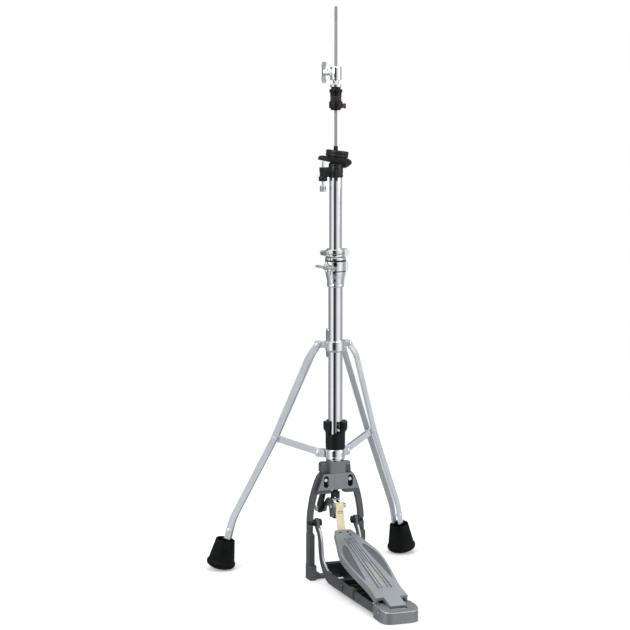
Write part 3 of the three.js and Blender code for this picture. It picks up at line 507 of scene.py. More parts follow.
def piece(name, bm, look, *nodes, bevel=0.4, body=None, angle=32, segments=2, edge=None):
    """Makes the object, gives it its finish, sets it on its body and lets it stand for CAD nodes."""
    ob = as_object(name, place(bm, Matrix.Scale(MM, 4)))
    mesh = ob.data
    mesh.materials.append(LOOK[look])
    mesh.shade_smooth()
    mesh.set_sharp_from_angle(angle=math.radians(angle))
    if bevel > 0:
        mod = ob.modifiers.new("edges", "BEVEL")
        mod.width = bevel * MM
        mod.segments = segments
        mod.limit_method = "ANGLE"
        mod.angle_limit = math.radians(angle)
        mod.harden_normals = True
        mod.miter_outer = "MITER_ARC"
        # An edge look puts a second, lighter material on the bevel faces: a painted highlight along the edges.
        if edge:
            mesh.materials.append(LOOK[edge])
            mod.material = 1
    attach(ob, body or body_of(frame["nodes"][nodes[0]])[0])
    if nodes:
        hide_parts(*nodes)
    return ob


def show(node_name, bm, look, **options):
    return piece(node_name + "_look", bm, look, node_name, **options)


def floor():
    ob = as_object("floor", place(lathe([(0, -4), (1450, -4), (1452, -0.2), (0, -0.2)], 128), Matrix.Scale(MM, 4)))
    ob.data.materials.append(LOOK["floor"])
    ob.location = (0, 0, CAD_BOX[0].z)
    ob.visible_glossy = False


floor()


# ---------- helpers for the pieces ----------
# Pivots along X that several pieces share, as (y, z). The first two lie in a leg's own plane.
LEG_PIN = (36, 477)
STAY_PIN = (34, 256)
LEVER_AXIS = (38, 135)
STRAP_BOLT = (-20, 151)
FOLD_AXIS = (-5, 116)
HEEL_AXIS = (-332, 19)
LOCK_BOLT = (24.3, 663.5)  # this one along Y, as (x, z)
CLUTCH_BOLT_Z = 1021
COLUMN_BORE = 14.6
POST_BORE = 13
TILT_CENTRE, SEAT_TILT, TILT_SCREW_X = 838, 7.5, -27
FRONT_TURN = -20.6  # turns what is drawn facing -Y towards the photograph's camera


def helix_steps(a0, a1, z0, z1, count, r=40.0, top=340.0):
    """Wedges whose floors climb from z0 to z1 between two angles in degrees."""
    tools = []
    for i in range(count):
        lo = a0 + (a1 - a0) * i / count
        hi = a0 + (a1 - a0) * (i + 1) / count + 0.2
        floor_z = z0 + (z1 - z0) * i / count
        tools.append(wedge(r, lo, hi, floor_z, top))
    return tools


def wedge(r, a0, a1, z0, z1):
    steps = max(2, int((a1 - a0) / 8))
    points = [(0, 0)]
    for i in range(steps + 1):
        a = math.radians(a0 + (a1 - a0) * i / steps)
        points.append((r * math.cos(a), r * math.sin(a)))
    return slab(points, z0, z1)


def knurl(r, z0, z1, count, depth=0.35, width=0.5):
    """A ring of fine upright ridges round Z."""
    ridges = []
    for i in range(count):
        ridges.append(turn(box(r - 0.5, r + depth, -width / 2, width / 2, z0, z1), "Z", 360 * i / count))
    return joined(*ridges)


def wing_bolt(shank_r, shank_l, hub_r, hub_l, wing_l, wing_w):
    """A bolt along +X with a shouldered hub and two cast wings."""
    s, h = shank_l, hub_l
    shank = rod_x(shank_r, 0, s + 1, 0, 0)
    hub = turn(lathe([(0, s), (hub_r * 0.8, s), (hub_r, s + 1), (hub_r, s + 3), (hub_r * 0.84, s + 4.2),
                      (hub_r * 0.84, s + h - 1.6), (hub_r * 0.6, s + h), (0, s + h)], 40), "Y", 90)
    side = [(s + h * 0.32, 0), (s + h * 0.42, wing_l * 0.28), (s + h * 0.33, wing_l * 0.55),
            (s + h * 0.20, wing_l * 0.75), (s + h * 0.26, wing_l * 0.90), (s + h * 0.50, wing_l * 0.975),
            (s + h * 0.82, wing_l * 0.985), (s + h + wing_w * 0.08, wing_l * 0.90),
            (s + h + wing_w * 0.24, wing_l * 0.66), (s + h + wing_w * 0.20, wing_l * 0.36), (s + h * 0.98, 0)]
    upper = slab(smooth_line(side, 5), -2, 2, "XZ")
    lower = slab([(x, -z) for x, z in smooth_line(side, 5)], -2, 2, "XZ")
    return joined(shank, hub, upper, lower)


# ---------- tubes and rods ----------
show("upper_tube", tube(11.3, 12.7, 470, 836), "chrome_plate", bevel=0.25)
show("lower_tube", cut(tube(13.1, 14.3, 222, 636), box(-3, 3, -20, 0, 291, 322)), "chrome_plate", bevel=0.2)
show("pull_rod_upper", lathe([(0, 395.3), (3, 395.3), (3, 1120), (2.8, 1121), (3, 1122), (3, 1148.6), (2, 1150),
                              (0, 1150)], 32), "rod_steel", bevel=0)
show("pull_rod_lower", lathe([(0, 178), (3, 178), (3, 372), (8.5, 372), (8.5, 395), (0, 395)], 40), "rod_steel",
     bevel=0.5)


# ---------- leg collar, stay collar ----------
LEG_AZIMUTH = 56.3


def leg_plane(bm, side):
    """Moves a shape drawn in a leg's own plane, with y outwards, to the leg's place."""
    return turn(bm, "Z", -side * LEG_AZIMUTH)


collar = ring([(COLUMN_BORE, 464), (17, 464), (18.6, 465), (20.1, 467), (20.5, 468.4), (20.5, 481.6), (19.8, 482.1),
               (19.8, 483.3), (20.5, 483.8), (20.5, 485.4), (19.9, 486), (14.6, 486)], 72)
blocks = [leg_plane(box(-4.2, 4.2, 16, 41.5, 471, 483), s) for s in (-1, 1)]
holes = [leg_plane(rod_x(3.3, -30, 30, *LEG_PIN), s) for s in (-1, 1)]
show("leg_collar", cut(fused(collar, *blocks, rod_y(7.5, 17, 27, 0, 475)), core(COLUMN_BORE, 400, 500), *holes,
                       rod_y(3.3, 12, 40, 0, 475), box(-3.5, 3.5, -21, -19.7, 466.8, 468.6)), "chrome_plate",
     bevel=0.35)
show("leg_collar_wing_bolt", move(turn(wing_bolt(3, 20, 6, 13, 30, 12), "Z", 90), 0, 14.6, 475), "chrome_plate",
     bevel=1.2, segments=3)

low = ring([(COLUMN_BORE, 244), (18.8, 244), (19.7, 245.2), (19.7, 249), (19.2, 249.5), (19.2, 250.3), (19.7, 250.8),
            (19.7, 263.3), (19, 264.5), (14.6, 264.5)], 72)
ears = []
for side in (-1, 1):
    for x0, x1 in ((-9, -4.5), (4.5, 9)):
        ear = round_rect(12, 247.5, 40, 262.5, [0, 6.5, 6.5, 0], 6)
        ears.append(leg_plane(slab(ear, x0, x1, "YZ"), side))
show("stay_collar", cut(fused(low, *ears), core(COLUMN_BORE, 200, 300),
                        *[leg_plane(rod_x(3.3, -30, 30, *STAY_PIN), s) for s in (-1, 1)]), "chrome_plate", bevel=0.4)


# ---------- legs ----------
LEG_PATH = [(36, 477, 7.2), (51.5, 454, 14), (126.5, 281, 8.2), (217, 106, 8.2), (227, 66, 8.2)]


def leg_strip(sign):
    """A flat bar that follows the leg's line, joggled sideways, with round ends and rolled bends."""
    points = [Vector(p) for p in LEG_PATH]
    bends = [points[0]]
    for i in range(1, len(points) - 1):
        p, a, b = points[i], points[i - 1] - points[i], points[i + 1] - points[i]
        bends += corner(p, a, b, min(3 if i == 2 else 16, a.length * 0.4, b.length * 0.4), 6)
    bends.append(points[-1])
    half = 6.0
    rows = []
    for i, p in enumerate(bends):
        ahead = bends[min(i + 1, len(bends) - 1)] - bends[max(i - 1, 0)]
        rows.append((p, Vector((ahead.x, ahead.y)).normalized(), half))
    ends = []
    for k in range(8):
        t = math.pi / 2 * (1 - k / 8)
        p, d, _ = rows[0]
        ends.append((p - Vector((d.x, d.y, 0)) * (0.5 + half * math.sin(t)), d, max(0.6, half * math.cos(t))))
    bar = swept([[(sign * (p.z + across), p.x - d.y * up, p.y + d.x * up)
                  for across, up in ((-2.5, -h), (2.5, -h), (2.5, h), (-2.5, h))] for p, d, h in ends + rows])
    head = turn(lathe([(0, 0), (4.6, 0), (4.6, 1.1), (3.6, 2.0), (0, 2.2)], 32), "Y", 90 * sign)
    head = move(head, sign * 10.5, 126.5, 281)
    return joined(bar, head)


def double_head(r_pin, r_head, reach, thick, y, z):
    """A pivot pin along X with a domed head at each end."""
    parts = [rod_x(r_pin, -reach, reach, y, z)]
    for sign in (-1, 1):
        head = lathe([(0, -0.4), (r_head, -0.4), (r_head, thick * 0.45), (r_head * 0.72, thick * 0.9), (0, thick)], 32)
        parts.append(move(turn(head, "Y", 90 * sign), sign * reach, y, z))
    return joined(*parts)


def stay_bar():
    length = math.hypot(126.5 - 34, 281 - 256)
    slope = math.degrees(math.atan2(281 - 256, 126.5 - 34))
    edge = []
    for k in range(13):
        a = math.radians(90 + 180 * k / 12)
        edge.append((6.5 * math.cos(a), 6.5 * math.sin(a)))
    for k in range(13):
        a = math.radians(-90 + 180 * k / 12)
        edge.append((length + 6.5 * math.cos(a), 6.5 * math.sin(a)))
    trough = round_rect(12, -3.6, length - 14, 20, [5, 5, 0, 0], 5)
    bar = cut(slab(edge, -4, 4, "YZ"), slab(trough, -2.6, 2.6, "YZ"), rod_x(3.3, -20, 20, 0, 0))
    return move(turn(bar, "X", slope), 0, *STAY_PIN)


def rubber_foot():
    """Hollow shoe with a rolled lip, fine rings and a treaded sole."""
    profile = [(0, -6.6), (12, -6.6), (12.4, -7.4), (20, -7), (25, -4.8), (28.5, -2), (29.7, 0.4), (30, 3),
               (29.7, 5), (28.9, 6.8), (27.6, 7.9), (26.9, 9.4), (26.1, 14)]
    for k in range(4):
        z = 16 + k * 2.6
        r = 27.5 - (z - 8) * 8 / 45
        profile += [(r, z), (r - 0.45, z + 0.5), (r - 0.45, z + 1.1), (r - 0.3, z + 1.6)]
    profile += [(20.3, 48.5), (20.2, 50), (20.0, 52.2), (19.2, 53), (17.9, 53), (17.6, 52.4), (17.6, 30), (0, 30)]
    return lathe(profile, 64)


for side, prefix in ((-1, "left"), (1, "right")):
    front = 1 if side > 0 else -1
    show(f"{prefix}_leg_front_strip", leg_plane(leg_strip(front), side), "plated_steel", bevel=0.9, segments=3)
    show(f"{prefix}_leg_rear_strip", leg_plane(leg_strip(-front), side), "shaded_steel", bevel=0.9, segments=3)
    show(f"{prefix}_leg_pin", leg_plane(double_head(3, 4.6, 12.2, 1.8, *LEG_PIN), side), "plated_steel", bevel=0.3)
    show(f"{prefix}_leg_rivet", leg_plane(double_head(2.6, 4.6, 11.1, 1.9, 222.4, 84), side), "plated_steel", bevel=0.3)
    show(f"{prefix}_stay", leg_plane(stay_bar(), side), "plated_steel", bevel=0.6)
    show(f"{prefix}_stay_pin", leg_plane(double_head(3, 4.8, 9.3, 2.1, *STAY_PIN), side), "plated_steel", bevel=0.3)
    tilt = math.degrees(math.atan2(10, 49.34))
    shoe = move(turn(rubber_foot(), "X", tilt), 0, 243, 10.66)
    room = slab([(217, 100), (236, 100), (240, 40), (216, 40)], -11.2, 11.2, "YZ")
    show(f"{prefix}_foot", leg_plane(cut(shoe, room), side), "foot_rubber", bevel=0.5)


# ---------- height socket and memory lock ----------
LUG = -140
socket = ring([(COLUMN_BORE, 595), (16.2, 595), (17, 596.4), (17.05, 600), (16.7, 600.6), (17.1, 601.4), (17.4, 609),
               (18.2, 613.5), (19.6, 619), (20.6, 624.6), (20.6, 626), (19.7, 626.7), (21, 628), (21, 646.3),
               (19.8, 647.2), (19.8, 648.4), (21, 649.4), (21, 653.8), (20.2, 655), (13, 655), (13, 636.3),
               (14.6, 636.3)], 72)
lug = fused(plate(8, -8.2, 30, 8.2, [0, 3, 3, 0], 627.2, 647.8), rod_x(10.2, 25, 31.5, 0, 637.5, 48, 1.2))
hinge = fused(plate(14, 627.2, 25, 648, [0, 4, 4, 0], -6, 6, "XZ"), rod_x(5, 20, 25.4, 0, 640, 40, 1.0))
socket = cut(fused(socket, turn(lug, "Z", LUG), hinge), core(COLUMN_BORE, 500, 636.3), core(POST_BORE, 630, 700),
             turn(box(12, 35, -1.2, 1.2, 620, 662), "Z", LUG), turn(rod_x(3.3, 10, 36, 0, 637.5), "Z", LUG),
             turn(rod_y(2, -30, -10, 0, 620.5), "Z", FRONT_TURN),
             turn(plate(-3.4, 650.6, 3.4, 652.6, 1, -24, -20.3, "XZ"), "Z", FRONT_TURN),
             turn(box(-21.5, -20.2, -2.6, 2.6, 636, 644.5), "Z", 78))
show("tube_socket", socket, "chrome_plate", bevel=0.35)
show("height_wing_bolt", turn(move(turn(wing_bolt(2.9, 12, 6, 12, 22, 10), "X", -95), 20.5, 0, 637.5), "Z", LUG),
     "cast_steel", bevel=1.2, segments=3)
ear_plates = [leg_plane(plate(21, 470.7, 41.8, 483.3, [0, 5, 5, 0], -4.45, 4.45, "YZ", steps=6), s) for s in (-1, 1)]
piece("collar_ear_plates", joined(*ear_plates), "plated_steel", body="upper_collar", bevel=0.3)
ear_plates = [leg_plane(plate(20.5, 247.2, 40.3, 262.8, [0, 6.6, 6.6, 0], x0, x1, "YZ", steps=6), s)
              for s in (-1, 1) for x0, x1 in ((-9.25, -7.4), (7.4, 9.25))]
piece("stay_ear_plates", joined(*ear_plates), "plated_steel", body="leg_swivel", bevel=0.3)
# Dark rings in the socket's grooves and in the gap under the lock, and a dark patch on the front: painted shade.
painted_shade = [tube(19.6, 20.95, z - 0.9, z + 0.9) for z in (626.9, 647.8)]
painted_shade.append(tube(13.1, 19.2, 655.1, 655.9))
painted_shade.append(turn(plate(-3, 637.5, 3, 645.5, 1.4, -21.25, -20.7, "XZ"), "Z", FRONT_TURN))
piece("socket_painted_shade", joined(*painted_shade), "shadow", body="frame", bevel=0)

LOCK = -165
lock = ring([(POST_BORE, 656), (18.6, 656), (19.5, 657.2), (19.5, 661.2), (19, 661.7), (19, 662.4), (19.5, 662.9),
             (19.5, 669.6), (18.6, 671), (13, 671)], 72)
right_ear = plate(12, 657, 27, 671, [0, 4, 4, 0], -5, 5, "XZ")
left_ear = turn(plate(12, 658, 27, 669, [0, 3.5, 3.5, 0], -7, 7, "XZ"), "Z", LOCK)
lock = cut(fused(lock, right_ear, left_ear), core(POST_BORE, 600, 700),
           turn(box(10, 40, -1.2, 1.2, 655, 672), "Z", LOCK),
           turn(rod_y(3.1, -30, 30, *LOCK_BOLT), "Z", LOCK))
show("memory_lock", lock, "chrome_plate", bevel=0.4)
screw = joined(rod_y(2.7, -10, 6.6, *LOCK_BOLT), rod_y(5.4, -13, -7.4, *LOCK_BOLT, 40, 1.0),
               rod_y(2.2, -13.0, -12.2, *LOCK_BOLT, 6, 0.2))
show("memory_lock_screw", turn(screw, "Z", LOCK), "cast_steel", bevel=0.2)
# A dark ring in the lock's groove and a dark patch at its lower edge: painted shade.
lock_painted_shade = joined(tube(19.1, 19.4, 661.75, 662.45),
                    turn(plate(-6.5, 657.8, 1.5, 661.2, 1.2, -19.8, -18, "XZ"), "Z", FRONT_TURN))
piece("lock_painted_shade", lock_painted_shade, "shadow", body="upper_column", bevel=0)


# ---------- cymbal seat ----------
seat_base = fused(
    lathe([(0, 813.5), (13.4, 813.5), (14.6, 815), (14.6, 819.5), (14.0, 820.2), (14.0, 821.4), (14.6, 822),
           (14.6, 835.4), (13.2, 838.4), (12, 839.4), (0, 839.5)], 64),
    plate(-34, -6.5, 0, 6.5, [6, 0, 0, 6], 826, 834),
    move(lathe([(0, 807), (8, 807), (8.6, 808), (8.6, 815), (8, 816), (6.6, 817), (6.6, 834), (0, 834)], 48),
         TILT_SCREW_X, 0, 0),
    box(-28, -8, -4, 4, 815, 825.4),
    plate(-7, 807.5, -2.5, 830, 1.5, -17.5, -12.9, "XZ"))
show("seat_base", cut(seat_base, core(POST_BORE, 800, 836.3, 64),
                      rod(4.6, 800, 850), move(rod(2.9, 790, 840), TILT_SCREW_X, 0, 0)), "seat_rubber", bevel=0.6)


def tilted(bm):
    return move(turn(move(bm, 0, 0, -TILT_CENTRE), "Y", SEAT_TILT), 0, 0, TILT_CENTRE)


cup = fused(
    lathe([(0, 842.6), (15.5, 842.6), (17.2, 843.6), (19.4, 846.8), (20.6, 849.6), (21.5, 851.2), (21.5, 853.2),
           (20.8, 854), (0, 854)], 72),
    slab(round_outline([(-14, 842.6), (-36.5, 844.5), (-36, 851), (-31, 854), (22, 854), (30, 850), (30.5, 844),
                        (22, 836.5), (16.6, 834), (16.6, 842.6)], [0, 2.5, 3, 3, 3, 3.5, 4, 4, 1, 0.5], 4),
         -7.5, 7.5, "XZ"))
hollow = lathe([(0, 836), (14.9, 836), (14.9, 845), (13, 846.8), (0, 846.8)], 64)
show("seat_tilter", tilted(cut(cup, rod(8.4, 820, 870, 48), hollow)), "seat_rubber", bevel=1.0, segments=3)
piece("seat_ball", ring([(4.6, 836.4), (14.1, 836.4), (14.3, 839.2), (13.7, 841.2), (12.2, 843), (9.5, 844.2),
                         (4.6, 844.4)], 64), "seat_rubber", body="upper_column", bevel=0)
show("seat_felt", tilted(ring([(10, 854.3), (20.8, 854.3), (22.0, 854.9), (22.5, 856.0), (22.5, 859.0), (22.1, 859.8),
                               (21.6, 860.2), (22.1, 860.6), (22.5, 861.4), (22.5, 864.6), (22.1, 866.2),
                               (20.9, 867.2), (19.4, 867.4), (11.2, 867.4), (10, 866.4)], 72)), "seat_rubber", bevel=0)
show("rod_sleeve", ring([(3.3, 836.6), (4.3, 836.6), (4.3, 874.6), (3.9, 876), (3.3, 876)], 36), "black_plastic",
     bevel=0.1)
show("tilt_screw", move(joined(rod(2.4, 797, 846), lathe([(0, 786), (5.4, 786), (6.0, 786.6), (6.0, 796.6),
                                                          (5.4, 797.5), (0, 797.5)], 48),
                               knurl(6.0, 787.2, 796.2, 34, 0.4, 0.55)), TILT_SCREW_X, 0, 0), "bright_steel", bevel=0.1)


# ---------- clutch ----------
clutch = fused(lathe([(0, 1005.3), (10.2, 1005.3), (11.5, 1006.7), (11.5, 1009), (10.9, 1009.5), (10.9, 1010.5),
                      (11.5, 1011), (11.5, 1029.4), (11.0, 1031), (9.8, 1032), (0, 1032)], 64),
               rod_x(6.5, -18, -6, 0, CLUTCH_BOLT_Z, 48), rod(5.6, 953, 1006, 40))
show("clutch_body", cut(clutch, rod(3.3, 940, 1040), rod_x(2.9, -30, -2, 0, CLUTCH_BOLT_Z)), "chrome_plate", bevel=0.35)
show("clutch_wing_bolt", move(turn(wing_bolt(2.6, 14.3, 6, 9, 21, 8), "Z", 180), -4.2, 0, CLUTCH_BOLT_Z), "cast_steel",
     bevel=1.1, segments=3)
barrel = lathe([(2.7, 0), (4.0, 0), (4.6, 0.8), (4.6, 4.6), (6.1, 5.0), (6.4, 6), (6.4, 12.6), (5.4, 13.8), (2.7, 13.8),
                (2.7, 0)], 48)
piece("clutch_bolt_barrel", move(turn(barrel, "Y", -90), -14.2, 0, CLUTCH_BOLT_Z), "chrome_plate", body="clutch_bolt",
      bevel=0.1)
nut_flange = ring([(5.9, 992.3), (10.8, 992.3), (11.5, 993), (11.5, 996.2), (10.8, 996.8), (5.9, 996.8)], 48)
show("clutch_lock_nut", joined(nut_flange, cut(rod(7, 996.8, 1003.6, 6, 0.6), rod(5.9, 990, 1010))), "chrome_plate",
     bevel=0.25)
cap = ring([(5.9, 974.8), (10.6, 974.8), (11.2, 975.4), (11.3, 980.4), (12.6, 981.2), (12.9, 981.8), (12.9, 986.8),
            (12.3, 987.5), (9.9, 988), (9.6, 988.6), (9.6, 991.4), (9.0, 992), (5.9, 992)], 64)
show("clutch_upper_cap", joined(cap, knurl(12.55, 982.2, 986.4, 36, 0.33, 0.9)), "black_plastic", bevel=0.1)
show("clutch_felt", ring([(5.9, 964.5), (11.0, 964.5), (11.6, 965.6), (11.2, 967.4), (10.8, 969.2), (11.0, 971.4),
                          (11.3, 973.2), (10.8, 974.5), (5.9, 974.5)], 64), "felt", bevel=0)
piece("felt_band", tube(10.6, 11.75, 974.0, 974.75, 64), "red_plastic", body="clutch", bevel=0)
nut = ring([(5.9, 946.6), (9.2, 946.6), (9.8, 947.2), (10, 949.8), (12.8, 950.4), (13.4, 951.2), (13.4, 962.2),
            (12.9, 963.3), (12.1, 964.2), (5.9, 964.2)], 64)
show("clutch_release_nut", joined(cut(nut, box(9.5, 16, -5.2, 5.2, 949.5, 961)),
                                  *[turn(box(12.9, 13.4, -0.5, 0.5, 951.6, 961.6), "Z", 30 + 10 * k)
                                    for k in range(31)]), "black_plastic", bevel=0.1)
show("release_lever", move(slab(round_outline([(10, -4), (14, -4), (20, -6.5), (20, 4.5), (14, 3.6), (10, 3.6)],
                                              [0.3, 2, 1.6, 1.6, 2, 0.3]), -4.5, 4.5, "XZ"), 0, 0, 955.6),
     "red_plastic", bevel=0.7, segments=3)


# ---------- spring dial ----------
dial = fused(ring([(14.9, 265.5), (18.8, 265.5), (19.6, 266.4), (20, 268.6), (20, 272.4), (19.5, 273), (19.5, 274.2),
                   (20, 274.8), (20, 312), (14.9, 312)], 72),
             ring([(14.9, 298), (20, 298), (20.9, 300.5), (23.6, 304.6), (24.5, 308), (24.5, 319), (24.0, 321.2),
                   (22.8, 322), (14.9, 322)], 72))
ramp = helix_steps(-152, -77.2, 295.5, 300.9, 14)
dial = cut(dial, *ramp, wedge(40, -77.5, -68, 309, 340), wedge(40, 20, 62, 308, 340), wedge(40, 118, 160, 308, 340))
show("tension_dial", dial, "black_plastic", bevel=0.5)
show("spring_follower", fused(tube(4.2, 11.8, 302.5, 307.5, 48), rod_y(2.3, -20.5, -8, 0, 305)), "bright_steel",
     bevel=0.15)
TURNS, STEPS, COIL, WIRE = 8, 36, 7.8, 0.9
rows = []
for i in range(TURNS * STEPS + 1):
    a = 2 * math.pi * i / STEPS
    centre = Vector((COIL * math.cos(a), COIL * math.sin(a), 309.2 + 61.2 * i / (TURNS * STEPS)))
    out = Vector((math.cos(a), math.sin(a), 0))
    rows.append([centre + out * WIRE * math.cos(math.pi * k / 4) + Vector((0, 0, 1)) * WIRE * math.sin(math.pi * k / 4)
                 for k in range(8)])
spring = show("return_spring", swept(rows), "rod_steel", bevel=0)
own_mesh(spring)


# ---------- hub and yoke ----------
hub = fused(
    plate(-16.5, -18, 16.5, 12, 2.5, 217.5, 241),
    rod(18, 217.5, 241, 64, 1.2),
    plate(-31, 217.5, -10, 237, [1.5, 0, 0, 5], -8, 14, "XZ"),
    plate(10, 217.5, 30, 233, [0, 1.5, 5, 0], -8, 14, "XZ"),
    rod_x(6, 10, 27, -2, 234), rod_x(4.2, 20, 30.5, -2, 234))
show("frame_hub", cut(hub, core(COLUMN_BORE, 221.7, 242), rod(7, 216, 222)),
     "hub_paint", bevel=0.9, segments=3, edge="edge_grey")

ear_covers = joined(plate(-31.4, 217.5, -18.2, 237.4, [1.5, 0, 0, 6], -8.4, 14.4, "XZ", steps=6),
                    plate(18.2, 217.5, 30.4, 233.4, [0, 1.5, 6, 0], -8.4, 14.4, "XZ", steps=6))
piece("hub_ear_covers", ear_covers, "dark_paint", body="frame", bevel=0.8, edge="edge_grey")

column = ([(23, 217.2), (32, 217.2)] + smooth_line([(36, 213.5), (40, 207.5), (46, 192), (52.3, 172), (57.2, 147),
                                                    (59.6, 126), (60, 112)], 5, False) + [(60, 26), (50.5, 26)]
          + smooth_line([(50.5, 106), (50, 122), (48.5, 138), (44.5, 160), (38, 182), (31, 192), (23, 200)], 5, False))


def yoke_half(s):
    def flip(points):
        return [(s * a, b) for a, b in points]

    arch = slab(flip(column), -7, 7, "XZ")
    block = slab(flip(round_rect(47, -21, 61.5, 10, 4, 6)), 0, 30)
    sleeve = slab(flip([(49.5, 26), (60.5, 26), (60.5, 92), (57.5, 97), (52.5, 97), (49.5, 92)]), -14, 7.5, "XZ")
    flange = slab(flip(round_rect(14, 176, 44, 184.5, [2, 2, 0, 0])), -15, 2, "XZ")
    return fused(arch, block, sleeve, flange)


def slot_tool(x):
    edge = []
    for k in range(17):
        a = math.pi * k / 16
        edge.append((x + 5.5 * math.cos(a), 207.5 + 5.5 * math.sin(a)))
    for k in range(17):
        a = math.pi + math.pi * k / 16
        edge.append((x + 5.5 * math.cos(a), 194 + 5.5 * math.sin(a)))
    return slab(edge, -20, -10, "XZ")


yoke = fused(slab(round_outline([(-31, 217.2), (-44, 184), (44, 184), (31, 217.2)], [3, 2, 2, 3]), -18, -13, "XZ"),
             slab([(-31, 217.2), (-36, 205), (36, 205), (31, 217.2)], -13.5, 10, "XZ"), yoke_half(1), yoke_half(-1))
yoke = cut(yoke, slot_tool(26), slot_tool(-26), rod(8, 170, 220), rod_x(4.4, 40, 70, *FOLD_AXIS),
           rod_x(4.4, -70, -40, *FOLD_AXIS), box(20.2, 31.8, -12, -1, 184, 214), box(-31.8, -20.2, -12, -1, 184, 214))
show("frame_yoke", yoke, "dark_paint", bevel=0.8, segments=3, edge="edge_grey")
# Dark sheets just behind the front plate's slots: painted shadow in the slots.
dark_sheet = joined(box(20.6, 31.4, -12.9, -12.3, 185, 213.5), box(-31.4, -20.6, -12.9, -12.3, 185, 213.5))
piece("slot_painted_shadow", dark_sheet, "shadow", body="frame", bevel=0.1)
for s, prefix in ((-1, "left"), (1, "right")):
    x = 26 * s
    head = move(turn(lathe([(0, 0), (4.6, 0), (4.6, 2.2), (4.1, 3.2), (3.4, 4), (0, 4)], 40), "X", 90), x, -11.5, 204)
    show(f"{prefix}_plate_bolt", joined(head, rod_y(2.5, -12.5, -1.3, x, 204)), "bright_steel", bevel=0.15)
show("base_plate", cut(box(-46.5, 46.5, -12, 9, 0, 11), plate(-36, 6, 36, 12, [3, 3, 0, 0], -13, 10, "XZ")),
     "dark_paint", bevel=0.6)

# The front plate has its own lighter paint.
skin = cut(slab(round_outline([(-30.6, 216.8), (-43.6, 184.3), (43.6, 184.3), (30.6, 216.8)], [3, 2, 2, 3]), -18.25,
                -17.7, "XZ"), slot_tool(26), slot_tool(-26))
piece("front_plate_paint", skin, "grey_paint", body="frame", bevel=0.2, edge="edge_light")


# ---------- lever linkage ----------
hanger = slab(round_outline([(10, 204.6), (2.4, 204.6), (2.4, 182), (26, 140), (27, 131), (33, 125.5), (43, 125.5),
                             (48, 131), (48, 140), (44, 147), (10, 196)], [1, 0.5, 4, 5, 4, 4, 4, 4, 4, 4, 3]),
              -22.6, -17, "YZ")
show("lever_hanger", cut(hanger, rod_x(4, -30, -10, *LEVER_AXIS)), "black_metal", bevel=0.6)
show("lever_pivot_pin", joined(rod_x(3.5, -26.5, -4.5, *LEVER_AXIS), rod_x(7, -28.5, -24.5, *LEVER_AXIS, 6, 0.6)),
     "bright_steel", bevel=0.2)
arm = slab(round_outline([(46, 131), (46, 139), (41, 143.5), (30, 146), (5, 164.5), (-4, 164.5), (-27, 158),
                          (-28, 147), (-25, 143), (-22, 128), (-9, 127), (-4, 148), (14, 146), (30, 128), (41, 127)],
                         [3, 3, 3, 5, 5, 4, 4, 2, 2, 1, 1, 5, 6, 4, 4]), -15.5, -10.5, "YZ")
arm = fused(arm, rod_x(7.6, -16.4, -6.5, *LEVER_AXIS))
show("lever_arm", cut(arm, rod_x(3.8, -30, 0, *LEVER_AXIS), rod_x(3.3, -30, 0, *STRAP_BOLT)), "lever_steel", bevel=0.5,
     edge="edge_light")
piece("lever_cam_block", joined(box(-11, 3, -21, -8, 125, 138), box(-10.4, 2.4, -21.6, -20.6, 127, 136)),
      "black_metal", body="lever", bevel=0.8)
piece("lever_cross_pin", rod_x(2.8, -11, 9.5, 0, 160), "bright_steel", body="lever", bevel=0)
fork = fused(rod(5.5, 176, 190), box(-7.5, 7.5, -6.5, 6.5, 165.5, 177), box(-7.5, -4, -6.5, 6.5, 153, 166),
             box(4, 7.5, -6.5, 6.5, 153, 166))
show("rod_clevis", cut(fork, rod(3.3, 177.6, 192), rod_x(4.2, -12, 12, 0, 160), box(-12, 12, -12, 0, 155.8, 164.2)),
     "black_metal", bevel=0.6)
show("strap_bolt", joined(rod_x(3, -17.5, 12, *STRAP_BOLT), rod_x(5.6, -10.1, -8.4, *STRAP_BOLT),
                          rod_x(5.8, 9, 12.2, *STRAP_BOLT, 6, 0.5),
                          move(turn(lathe([(0, 0), (5.0, 0), (4.7, 1.4), (3.6, 2.6), (1.8, 3.2), (0, 3.3)], 36), "Y",
                                    90), 12.1, *STRAP_BOLT), rod_x(5, -19.5, -15.9, *STRAP_BOLT, 6, 0.5)),
     "bright_steel", bevel=0.15)


# ---------- strap ----------
BOLT, TOE = Vector(STRAP_BOLT), Vector((-36, 104))
DOWN = (TOE - BOLT).normalized()
SIDE = Vector((DOWN.y, -DOWN.x))
LENGTH = (TOE - BOLT).length


def strap_point(along, across):
    return tuple(BOLT + DOWN * along + SIDE * across)


outer = [strap_point(-6.3 * math.sin(math.pi * i / 16), 6.3 * math.cos(math.pi * i / 16)) for i in range(17)]
outer += smooth_line([strap_point(4, -5.9), strap_point(9, -4.1), strap_point(14, -3.0), strap_point(24, -2.5),
                      strap_point(LENGTH, -2.1)], 5, False)
outer += smooth_line([strap_point(LENGTH, 2.1), strap_point(24, 2.5), strap_point(14, 3.0), strap_point(9, 4.1),
                      strap_point(4, 5.9)], 5, False)
eye = [strap_point(-3.5 * math.sin(2 * math.pi * i / 32), 3.5 * math.cos(2 * math.pi * i / 32)) for i in range(32)]
gap = [strap_point(0, -3.5), strap_point(0, 3.5), strap_point(8, 1.8), strap_point(14, 0.5), strap_point(14, -0.5),
       strap_point(8, -1.8)]
band = cut(slab(outer, -8, 8.4, "YZ"), slab(eye, -20, 20, "YZ"), slab(gap, -20, 20, "YZ"))
strap = show("strap", band, "strap_web", bevel=0.5, angle=40)
stitches = []
for k in range(3):
    for x in (-4.6, 5.0):
        stitches.append((x, 12.8 + k * 1.1, 0))
for k in range(9):
    for along in (12.0, 15.8):
        stitches.append((-3.8 + k * 1.0, along, 1))
thread = []
